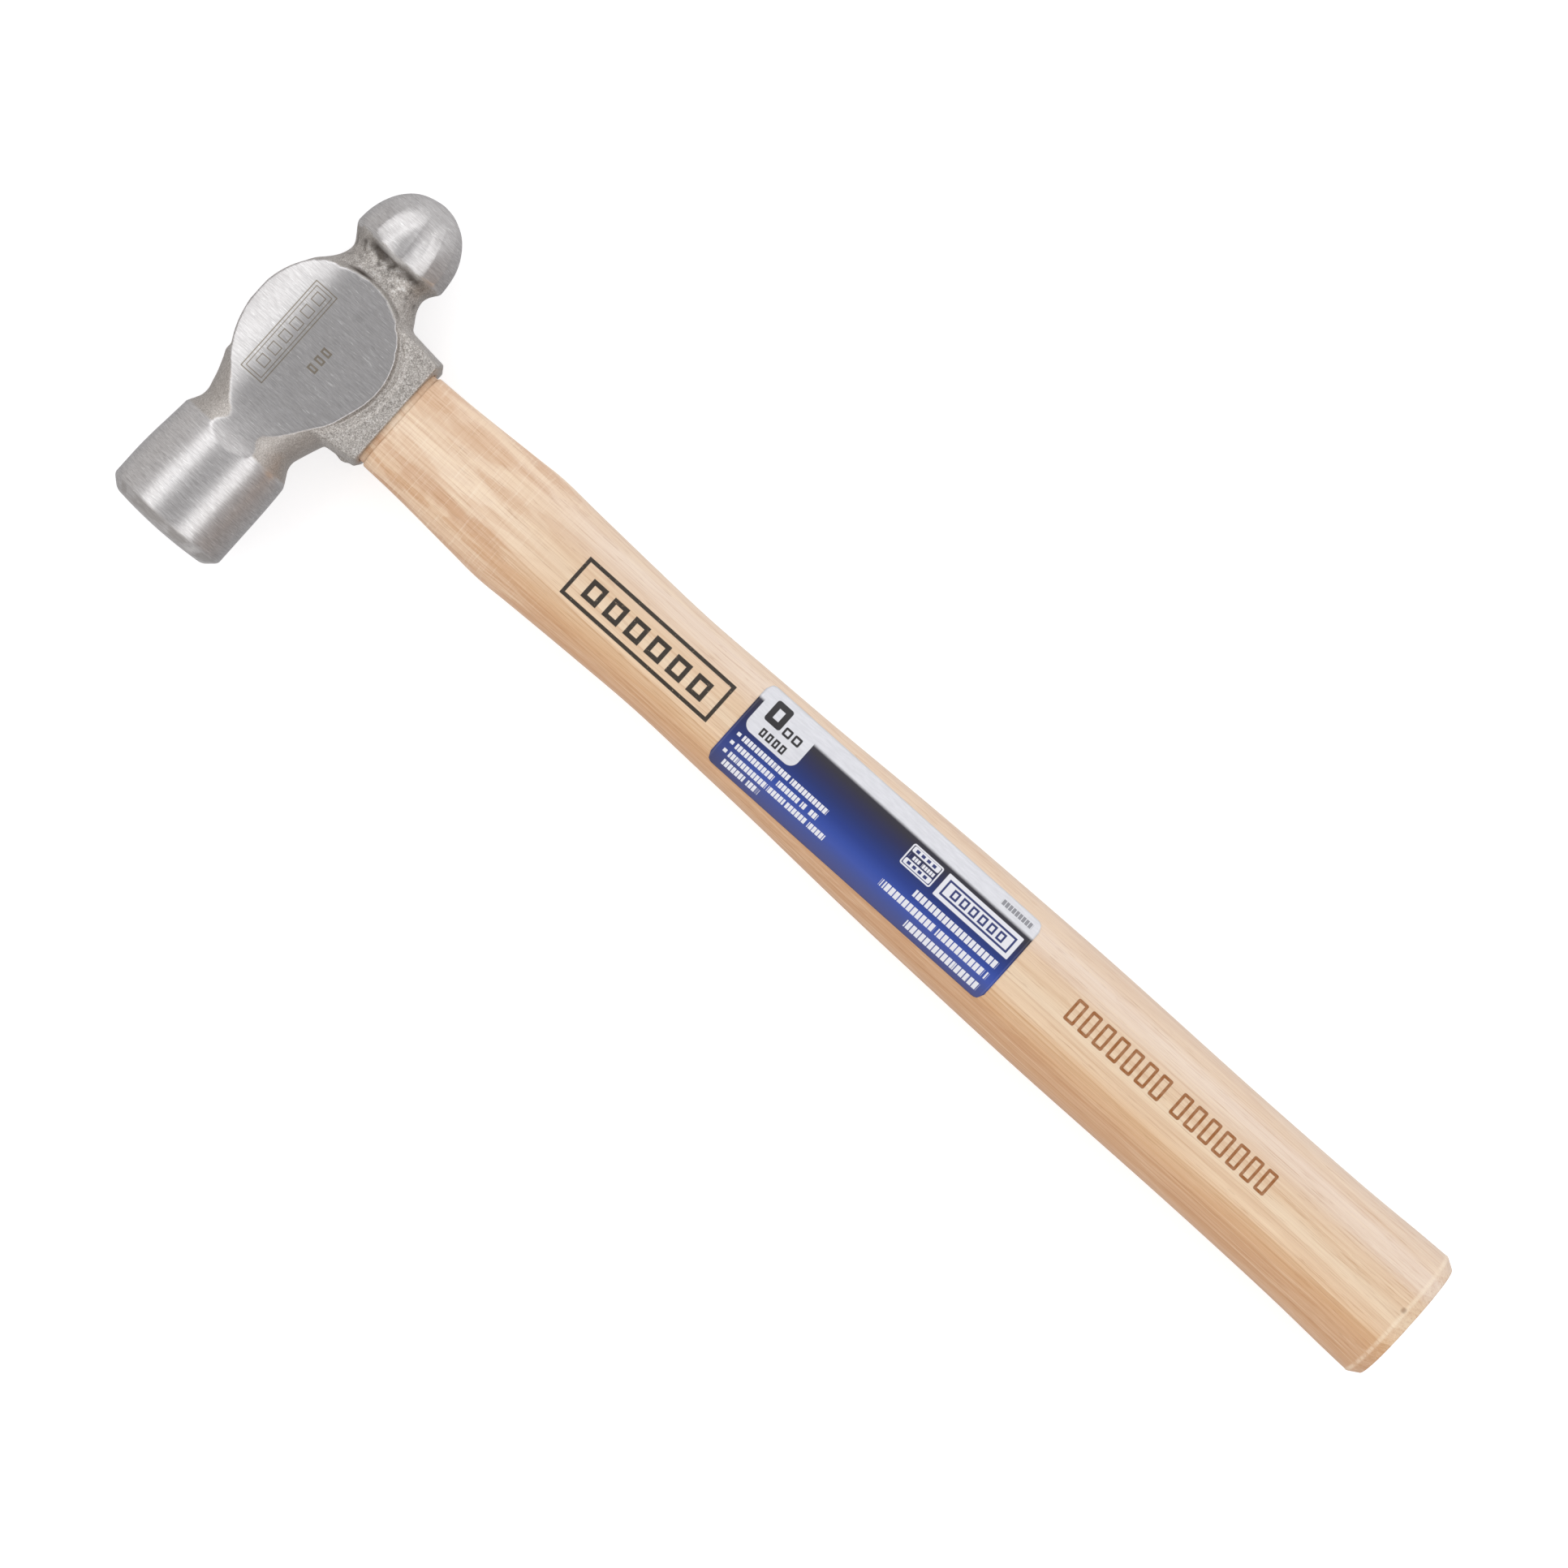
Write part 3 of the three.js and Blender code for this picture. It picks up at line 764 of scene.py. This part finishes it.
def cheek_marks(s):
    """A plain etched double frame round a column of boxes, and three small boxes beside it."""
    outer = s.frame((-7.9, -12.2), (-2.5, 9.3), 0.22)
    inner = s.frame((-7.2, -11.5), (-3.2, 8.6), 0.18)
    bars = []
    for k in range(6):
        low = -9.7 + k * 3.1
        bars.append(s.frame((-6.3, low), (-4.0, low + 2.0), 0.2))
    small = [s.frame((1.7, low), (3.8, low + 1.2), 0.4) for low in (-4.3, -2.3, -0.4)]
    above = s.step(s.z, 8.0, 8.5)
    return s.times(total(s, [outer, inner, *bars, *small]), above)


def ring_distance(s):
    """Distance from a pith line beside the handle, bent a little along its length."""
    bend = s.noise((0.008, 0.02, 0.02), 2, 0.5, offset=(5, 0, 0))
    off_y = s.math("ADD", s.math("ADD", s.y, 52.0), s.math("MULTIPLY_ADD", bend, 7.0, -3.5))
    off_z = s.math("ADD", s.z, 26.0)
    return s.math("SQRT", s.math("ADD", s.times(off_y, off_y), s.times(off_z, off_z)))


def board_colour_and_sheen(s, broad, near_head):
    """Colour across the handle from the lower flank to the upper, with a paler pink band on the upper side
    that is partly painted sheen.
    """
    across = s.math("ADD", s.y, s.math("MULTIPLY_ADD", broad, 3.0, -1.5))
    across = s.math("MULTIPLY_ADD", across, 1 / 30, 0.5)
    along_grip = s.ramp(across, [
        (0.10, paint(203, 160, 123)),
        (0.18, paint(204, 161, 124)),
        (0.24, paint(211, 169, 129)),
        (0.30, paint(223, 188, 150)),
        (0.36, paint(231, 202, 170)),
        (0.48, paint(231, 208, 180)),
        (0.57, paint(225, 197, 166)),
        (0.65, paint(224, 197, 169)),
        # Paler and pinker on the upper side: partly painted sheen.
        (0.71, paint(229, 208, 188)),
        (0.80, paint(231, 212, 195)),
        (0.86, paint(226, 203, 180)),
        (0.94, paint(220, 197, 176)),
    ])
    at_head = s.ramp(across, [
        (0.19, paint(215, 178, 147)),
        (0.23, paint(224, 190, 158)),
        (0.28, paint(212, 174, 142)),
        (0.33, paint(217, 182, 152)),
        (0.39, paint(238, 214, 188)),
        (0.46, paint(244, 223, 199)),
        (0.55, paint(235, 210, 184)),
        (0.70, paint(228, 200, 173)),
        (0.85, paint(229, 201, 175)),
    ])
    return s.mix(near_head, along_grip, at_head)


def ring_lines(s, tone, reach, late, broad, thread):
    """Dark late wood in every growth ring, with finer lines between; both show most on the flank."""
    flank = s.step(s.y, 1.0, -7.0)
    tone = s.tint(tone, paint(184, 132, 84), late, s.math("MULTIPLY_ADD", flank, 0.26, 0.14))
    fine_ring = s.math("FRACT", s.math("MULTIPLY_ADD", reach, 1.25, s.times(broad, 0.8)))
    fine_ring = s.times(s.math("POWER", fine_ring, 4.0), s.step(thread, 0.40, 0.58))
    return s.tint(tone, paint(170, 112, 64), fine_ring, s.math("MULTIPLY_ADD", flank, 0.30, 0.08))


def wood_figure(s, tone, near_head):
    """Broad pale and dark flames, strongest near the head."""
    figure = s.noise((0.035, 0.24, 0.24), 2, 0.5, 1.2, offset=(7, 5, 2))
    figured = s.math("MULTIPLY_ADD", near_head, 0.25, 0.05)
    tone = s.tint(tone, paint(250, 230, 202), s.step(figure, 0.50, 0.57), figured)
    return s.tint(tone, paint(202, 154, 112), s.step(figure, 0.48, 0.41), figured)


def wood_grain(s, tone, grain, hair, thread, pore):
    """Fine grain along the handle, a few dark lines, and open pores as short dark dashes."""
    tone = s.tint(tone, paint(188, 134, 80), s.step(grain, 0.51, 0.70), 0.24)
    tone = s.tint(tone, paint(250, 232, 202), s.step(grain, 0.48, 0.30), 0.22)
    tone = s.tint(tone, paint(168, 116, 66), s.step(hair, 0.52, 0.74), 0.13)
    tone = s.tint(tone, paint(254, 242, 220), s.step(hair, 0.46, 0.28), 0.14)
    line = s.math("ABSOLUTE", s.math("SUBTRACT", thread, 0.5))
    tone = s.tint(tone, paint(164, 108, 58), s.step(line, 0.016, 0.004), s.step(grain, 0.42, 0.55), 0.24)
    return s.tint(tone, paint(156, 104, 60), pore, 0.22)


def sanding_marks(s, tone, near_head):
    """Scratches across the grain near the head."""
    sanding = s.noise((3.0, 0.16, 0.3), 3, 0.7, offset=(4, 4, 4))
    tone = s.tint(tone, paint(252, 240, 222), s.step(sanding, 0.52, 0.72), near_head, 0.28)
    return s.tint(tone, paint(180, 130, 84), s.step(sanding, 0.46, 0.30), near_head, 0.11)


def wood_ends(s, tone, late, grain):
    """A pale band round the butt's chamfer edge, partly rubbed wood and partly painted highlight, a pin
    knot at the butt, and end grain at both ends.
    """
    # Pale band at the chamfer's edge: partly rubbed wood, partly a painted highlight where the edge turns.
    rubbed_and_lit_edge = s.times(s.between(s.x, BUTT_X - 3.0, BUTT_X - 2.2, 0.3), s.step(grain, 0.35, 0.55))
    tone = s.tint(tone, paint(252, 238, 214), rubbed_and_lit_edge, 0.4)
    knot = s.times(s.box((273.2, 0.7), (274.1, 1.7), 0.4, 0.3), s.step(s.z, 2, 3))
    tone = s.tint(tone, paint(122, 86, 58), knot, 0.55)
    ends = s.math("MAXIMUM", s.step(s.x, BUTT_X - 0.35, BUTT_X - 0.1),
                  s.step(s.x, TENON_END_X + 0.3, TENON_END_X + 0.1))
    tone = s.tint(tone, paint(176, 126, 84), ends, s.math("MULTIPLY_ADD", late, 0.6, 0.15))
    dots = s.noise((0.5, 4.0, 4.0), 1, 0.5, offset=(6, 6, 2))
    return s.tint(tone, paint(130, 90, 58), s.step(dots, 0.6, 0.7), ends, 0.5)


def hickory_material():
    """Clear-finished hickory: a pale face turning to a darker flank, with a paler upper band that is
    partly painted sheen.
    """
    s = Shader("hickory")
    grain = s.noise((0.030, 2.4, 2.4), 4, 0.62)
    hair = s.noise((0.07, 7.5, 7.5), 3, 0.7, offset=(0, 3, 8))
    thread = s.noise((0.018, 0.9, 0.9), 3, 0.6, 0.2, offset=(3, 9, 4))
    broad = s.noise((0.012, 0.35, 0.35), 3, 0.55, offset=(2, 6, 1))
    pore = s.noise((0.28, 5.0, 5.0), 0, 0.5, offset=(1, 7, 3))
    pore = s.times(s.step(pore, 0.70, 0.76), s.step(broad, 0.40, 0.6))
    near_head = s.step(s.x, 72, 40)
    reach = ring_distance(s)
    late = s.math("POWER", s.math("FRACT", s.times(reach, 0.31)), 3.0)
    tone = board_colour_and_sheen(s, broad, near_head)
    tone = ring_lines(s, tone, reach, late, broad, thread)
    tone = wood_figure(s, tone, near_head)
    tone = wood_grain(s, tone, grain, hair, thread, pore)
    tone = sanding_marks(s, tone, near_head)
    tone = wood_ends(s, tone, late, grain)
    tone, burn = handle_marks(s, tone)
    height = s.math("ADD", s.times(grain, 0.5), s.times(hair, 0.5))
    height = s.math("SUBTRACT", height, s.times(pore, 0.6))
    height = s.math("SUBTRACT", height, s.times(burn, 2.0))
    rough = s.math("MULTIPLY_ADD", grain, 0.12, 0.36)
    rough = s.math("MULTIPLY_ADD", near_head, 0.10, rough)
    return s.finish(**named(base_color=tone, roughness=rough, normal=s.bump(height, 0.018),
                            coat_weight=0.25, coat_roughness=0.3, ior=1.45))


def handle_marks(s, tone):
    """A printed black frame round plain boxes near the head, and a burnt row of boxes on the grip."""
    upper = s.step(s.z, 2.0, 3.0)
    parts = [s.frame((65.2, -4.0), (102.2, 4.9), 0.78)]
    for k in range(6):
        low = 68.6 + k * 5.3
        parts.append(s.frame((low, -1.9), (low + 3.7, 2.3), 0.95))
    wear_and_sheen = s.noise((1.6, 1.6, 1.6), 3, 0.7, offset=(8, 8, 8))
    kept = s.math("SUBTRACT", 1.0, s.times(s.step(wear_and_sheen, 0.6, 0.78), 0.5))
    ink = s.times(total(s, parts), upper, kept)
    tone = s.tint(tone, paint(18, 14, 12), ink, 0.96)
    burnt = []
    for start, k in product((189.2, 215.8), range(7)):
        low = start + k * 3.55
        burnt.append(s.frame((low, -0.6), (low + 2.5, 4.4), 0.62, 0.4))
    burn = s.times(total(s, burnt), upper)
    shade = s.noise((0.9, 0.9, 0.9), 2, 0.6, offset=(7, 1, 2))
    scorch = s.math("MULTIPLY_ADD", shade, 0.5, 0.68, clamp=True)
    tone = s.tint(tone, paint(150, 90, 36), burn, scorch)
    return tone, burn


def greeked_line(s, left, right, middle, height, seed):
    """A line of small blocks of uneven width, as type too small to read."""
    place = s.vector("MULTIPLY_ADD", s.place, (0.9 / height, 0, 0), (seed, seed * 3.7, 0))
    words = s.node("TexNoise", {"Vector": place, "Scale": 1, "Detail": 1}).outputs["Fac"]
    cells = s.math("FRACT", s.times(s.x, 1.35 / height))
    letters = s.times(s.step(words, 0.66, 0.62), s.step(cells, 0.14, 0.26))
    band = s.box((left, middle - height / 2), (right, middle + height / 2), 0, 0.05)
    return s.times(band, letters)


def label_material():
    """Printed film: a silver stripe and tab over a field that runs from black to blue."""
    s = Shader("label_film")
    low, high = LABEL["low"], LABEL["high"]
    drop = s.math("MULTIPLY_ADD", s.y, 1 / (high - low), -low / (high - low))
    field = s.ramp(drop, [
        (0.00, paint(66, 70, 124)),
        (0.10, paint(62, 76, 142)),
        (0.20, paint(54, 78, 164)),
        (0.28, paint(40, 70, 160)),
        (0.40, paint(22, 52, 134)),
        (0.52, paint(22, 43, 108)),
        (0.64, paint(30, 35, 80)),
        (0.76, paint(36, 34, 50)),
        (0.83, paint(38, 36, 44)),
    ])
    silver = s.ramp(s.noise((0.4, 2.0, 2.0), 2, 0.5), [(0.3, paint(212, 213, 219)),
                                                       (0.7, paint(223, 224, 230))])
    stripe = s.step(s.y, 6.15, 6.95)
    tab = s.box((107.7, 0.2), (120.2, 12.0), 1.9)
    field = s.tint(field, paint(34, 32, 62), s.step(s.x, 118, 106), 0.45)
    tone = s.mix(s.math("MAXIMUM", stripe, tab), field, silver)
    black = [
        s.frame((109.7, 3.9), (113.6, 8.6), 1.25, 0.6),
        s.frame((114.2, 3.9), (116.0, 5.7), 0.45, 0.3),
        s.frame((116.5, 3.9), (118.3, 5.7), 0.45, 0.3),
        *[s.frame((left, 0.95), (left + 1.15, 2.65), 0.4) for left in (111.0, 112.6, 114.2, 115.8)],
    ]
    tone = s.mix(total(s, black), tone, paint(38, 36, 40))
    white = [
        *[s.box((108.0, row - 0.35), (108.8, row + 0.35)) for row in (-1.4, -3.4, -5.4)],
        *[greeked_line(s, 109.4, right, row, 1.15, 3 + row)
          for right, row in ((130.6, -1.4), (129.8, -3.4), (133.3, -5.4), (118.5, -7.2))],
        greeked_line(s, 152.8, 173.6, -1.6, 1.5, 21),
        greeked_line(s, 146.6, 173.6, -4.3, 1.5, 32),
        greeked_line(s, 155.3, 173.6, -7.0, 1.5, 43),
        s.box((155.4, 0.5), (174.1, 5.6), 0.2),
        s.frame((146.7, 0.8), (154.2, 5.5), 0.3, 0.5),
        *[s.box((147.2, row), (153.7, row + 1.2), 0.3) for row in (1.25, 3.95)],
        greeked_line(s, 147.4, 153.5, 3.15, 0.8, 11),
    ]
    tone = s.mix(total(s, white), tone, paint(226, 227, 234))
    inset = [
        s.frame((156.3, 1.3), (173.2, 4.8), 0.42),
        *[s.frame((147.9 + k * 1.35, row), (148.7 + k * 1.35, row + 0.62), 0.4)
          for row in (1.54, 4.24) for k in range(4)],
        *[s.frame((158.2 + k * 2.3, 2.1), (159.8 + k * 2.3, 4.0), 0.42) for k in range(6)],
    ]
    tone = s.mix(total(s, inset), tone, paint(40, 52, 112))
    grey = greeked_line(s, 166.2, 173.8, 8.3, 1.1, 54)
    tone = s.tint(tone, paint(96, 96, 104), grey, 0.75)
    ripple = s.noise((0.10, 0.16, 0.16), 2, 0.5)
    return s.finish(**named(base_color=tone, roughness=0.32, normal=s.bump(ripple, 0.12),
                            coat_weight=0.35, coat_roughness=0.18, ior=1.5))


def wedge_wood_material():
    s = Shader("wedge_wood")
    grain = s.noise((0.3, 3.0, 3.0), 3, 0.6)
    tone = s.ramp(grain, [(0.3, paint(150, 104, 66)), (0.7, paint(196, 150, 106))])
    return s.finish(**named(base_color=tone, roughness=0.6, normal=s.bump(grain, 0.08)))


def wedge_steel_material():
    s = Shader("wedge_steel")
    grit = s.noise((1.8, 1.8, 1.8), 3, 0.65)
    tone = s.ramp(grit, [(0.3, paint(120, 118, 116)), (0.7, paint(176, 174, 172))])
    rough = s.math("MULTIPLY_ADD", grit, 0.3, 0.3)
    return s.finish(**named(base_color=tone, metallic=1.0, roughness=rough,
                            normal=s.bump(grit, 0.08)))


# ------------------------------------------------------------------ wedges and label

def make_wedge(name, material, centre_y, wedge):
    """A wedge driven in along x from the eye's top, its edges eased at the struck end."""
    sides = 48
    angles = np.linspace(0, 2 * np.pi, sides, endpoint=False)
    shares = np.concatenate([[0, 0.004, 0.012], np.linspace(0.03, 0.97, 24), [0.99, 1]])
    points = []
    for share in shares:
        x = TENON_END_X - 0.15 + share * wedge["length"]
        half_y = (wedge["thick"] + (wedge["tip"] - wedge["thick"]) * share) / 2
        ease = 0.12 * (1 - min(share / 0.012, 1)) ** 2
        y, z = oval(angles, half_y - ease, wedge["width"] / 2 - ease, wedge["exponent"])
        points.append(np.stack([np.full(sides, x), y + centre_y, z], axis=1))
    points, faces = skin_rings(np.vstack(points), len(shares), sides)
    return new_object(name, arched(points), faces, material)


def film_point(x, share, lift):
    """A point of the label at x, a share of the way up it and lifted off the handle."""
    corner = LABEL["corner"]
    end = min(x - LABEL["from"], LABEL["to"] - x)
    pull = corner - np.sqrt(max(corner ** 2 - max(corner - end, 0) ** 2, 0))
    half_y, half_z, n = (float(v) for v in handle_size(x))
    y = LABEL["low"] + pull + share * (LABEL["high"] - LABEL["low"] - 2 * pull)
    flank = min(abs(y) / half_y, 1)
    z = half_z * (1 - flank ** n) ** (1 / n)
    slope = np.array([flank ** (n - 1) * np.sign(y) / half_y, (z / half_z) ** (n - 1) / half_z])
    slope /= np.linalg.norm(slope)
    return x, y + slope[0] * lift, z + slope[1] * lift


def make_label(material):
    """A thin film that follows the handle's curve, with rounded corners."""
    rows, columns = 116, 48
    xs = np.linspace(LABEL["from"], LABEL["to"], rows)
    shares = np.linspace(0, 1, columns)
    points = [film_point(x, share, lift) for lift, x, share in product((LABEL["thick"], 0.03), xs, shares)]
    layer = rows * columns
    faces = []
    for i, j in product(range(rows - 1), range(columns - 1)):
        a = i * columns + j
        quad = (a, a + columns, a + columns + 1, a + 1)
        faces.append(quad)
        faces.append(tuple(layer + k for k in quad[::-1]))
    border = list(range(columns))
    border += [i * columns + columns - 1 for i in range(1, rows)]
    border += [(rows - 1) * columns + j for j in range(columns - 2, -1, -1)]
    border += [i * columns for i in range(rows - 2, 0, -1)]
    for a, b in zip(border, border[1:] + border[:1]):
        faces.append((a, b, layer + b, layer + a))
    return new_object("label_film", points, faces, material)


# ------------------------------------------------------------------ the set

def strip_light(name, angle, distance, width, length, power):
    """A long soft box parallel to the head, tilted angle degrees from straight above."""
    lamp = bpy.data.lights.new(name, "AREA")
    lamp.shape = "RECTANGLE"
    lamp.size = width
    lamp.size_y = length
    lamp.energy = power
    holder = bpy.data.objects.new(name, lamp)
    turn = Matrix.Rotation(np.radians(angle), 4, "Y")
    holder.matrix_world = Matrix.Translation(ORIGIN) @ turn @ Matrix.Translation((0, 0, distance))
    bpy.context.scene.collection.objects.link(holder)
    return holder


def make_world():
    """Grey studio air: dim above, lighter towards the ball, the face and the eye top."""
    world = bpy.data.worlds.new("studio")
    world.use_nodes = True
    tree = world.node_tree
    tree.nodes.clear()

    def add(kind, *links, **settings):
        made = tree.nodes.new("ShaderNode" + kind)
        for key, value in settings.items():
            setattr(made, key, value)
        for socket, value in links:
            if isinstance(value, bpy.types.NodeSocket):
                tree.links.new(value, made.inputs[socket])
            else:
                made.inputs[socket].default_value = value
        return made

    place = add("TexCoord").outputs["Generated"]
    split = add("SeparateXYZ", (0, place)).outputs
    along = add("Math", (0, split["X"]), (1, 0.5), (2, 0.5), operation="MULTIPLY_ADD").outputs[0]
    side = add("ValToRGB", ("Fac", along))
    stops = side.color_ramp.elements
    stops[1].position = 1.0
    for position, grey in ((0.2, 0.46), (0.34, 0.47), (0.445, 0.34), (0.56, 0.45), (0.8, 0.39)):
        stops.new(position).color = (grey, grey * 0.99, grey, 1)
    stops[0].color = (0.65, 0.63, 0.618, 1)
    stops[-1].color = (0.368, 0.33, 0.312, 1)
    colour = side.outputs["Color"]
    for low, high, tint in ((0.03, 0.8, (0.76, 0.75, 0.75, 1)), (-0.05, -0.9, (0.61, 0.595, 0.585, 1))):
        share = add("MapRange", ("Value", split["Y"]), ("From Min", low), ("From Max", high))
        colour = add("Mix", ("Factor", share.outputs["Result"]), ("A", colour), ("B", tint),
                     data_type="RGBA").outputs["Result"]
    sky = add("Background", ("Color", colour), ("Strength", 1.0))
    add("OutputWorld", ("Surface", sky.outputs[0]))
    bpy.context.scene.world = world


def make_stage_piece(name, points, faces, base, glow):
    """Scenery that gives off white light of its own and isn't mirrored in the metal."""
    mesh = bpy.data.meshes.new(name)
    mesh.from_pydata(points, [], faces)
    piece = bpy.data.objects.new(name, mesh)
    bpy.context.scene.collection.objects.link(piece)
    material = bpy.data.materials.new(name + "_glow")
    material.use_nodes = True
    surface = material.node_tree.nodes["Principled BSDF"]
    surface.inputs["Base Color"].default_value = base
    surface.inputs["Roughness"].default_value = 0.9
    surface.inputs["Specular IOR Level"].default_value = 0.0
    surface.inputs["Emission Color"].default_value = (1, 1, 1, 1)
    surface.inputs["Emission Strength"].default_value = glow
    mesh.materials.append(material)
    piece.visible_glossy = False
    return piece


def make_floor():
    """A pale table that glows a little, so that shadows stay faint."""
    size = 6.0
    corners = [(-size, -size, 0), (size, -size, 0), (size, size, 0), (-size, size, 0)]
    make_stage_piece("floor", corners, [(0, 1, 2, 3)], base=(0.55, 0.55, 0.56, 1), glow=0.62)


def make_backdrop():
    """A plain pale wall all round, seen by the camera only."""
    count, radius, height = 96, 5.5, 4.0
    turns = np.linspace(0, 2 * np.pi, count, endpoint=False)
    circle = np.stack([radius * np.cos(turns), radius * np.sin(turns)], axis=1)
    points = [(x, y, z) for z in (0, height) for x, y in circle]
    faces = [(k, (k + 1) % count, (k + 1) % count + count, k + count) for k in range(count)]
    wall = make_stage_piece("backdrop", points, faces, base=(0, 0, 0, 1), glow=0.93)
    wall.visible_diffuse = False
    wall.visible_shadow = False


def make_camera():
    """Straight above the handle's middle, turned so that the handle runs down to the right."""
    right = Vector((0.745, 0.667, 0)).normalized()
    up = Vector((-right.y, right.x, 0))
    back = Vector((0, 0, 1))
    camera = bpy.data.cameras.new("camera")
    camera.lens = 139.2
    camera.sensor_width = 36
    camera.clip_end = 20
    holder = bpy.data.objects.new("camera", camera)
    basis = Matrix((right, up, back)).transposed().to_4x4()
    spot = ORIGIN + Vector(CAMERA_SPOT) * MM
    holder.matrix_world = Matrix.Translation(spot) @ basis
    bpy.context.scene.collection.objects.link(holder)
    bpy.context.scene.camera = holder


def build():
    pieces = [
        (make_head(steel_material()), "head", "forged_steel"),
        (make_handle(hickory_material()), "handle", "hickory"),
        (make_label(label_material()), "label", "label_film"),
        (make_wedge("wooden_wedge", wedge_wood_material(), 0, WOOD_WEDGE), "wood_wedge", "wedge_wood"),
    ]
    metal = wedge_steel_material()
    for side, sign in (("face_side", -1), ("ball_side", 1)):
        wedge = make_wedge("metal_wedge_" + side, metal, sign * STEEL_WEDGE_OFFSET, STEEL_WEDGE)
        pieces.append((wedge, "steel_wedge_" + side, "wedge_steel"))
    for piece, node, finish in pieces:
        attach(piece, "root")
        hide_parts(node)


build()
make_world()
make_floor()
make_backdrop()
strip_light("eye_top_strip", -35, 1.1, 0.60, 5.0, 9.7)
strip_light("handle_side_strip", 46, 1.1, 0.52, 5.0, 9.3)
fill = strip_light("fill", 0, 1.6, 1.5, 1.5, 3.4)
fill.visible_glossy = False
make_camera()
bpy.context.scene.view_settings.view_transform = "Standard"
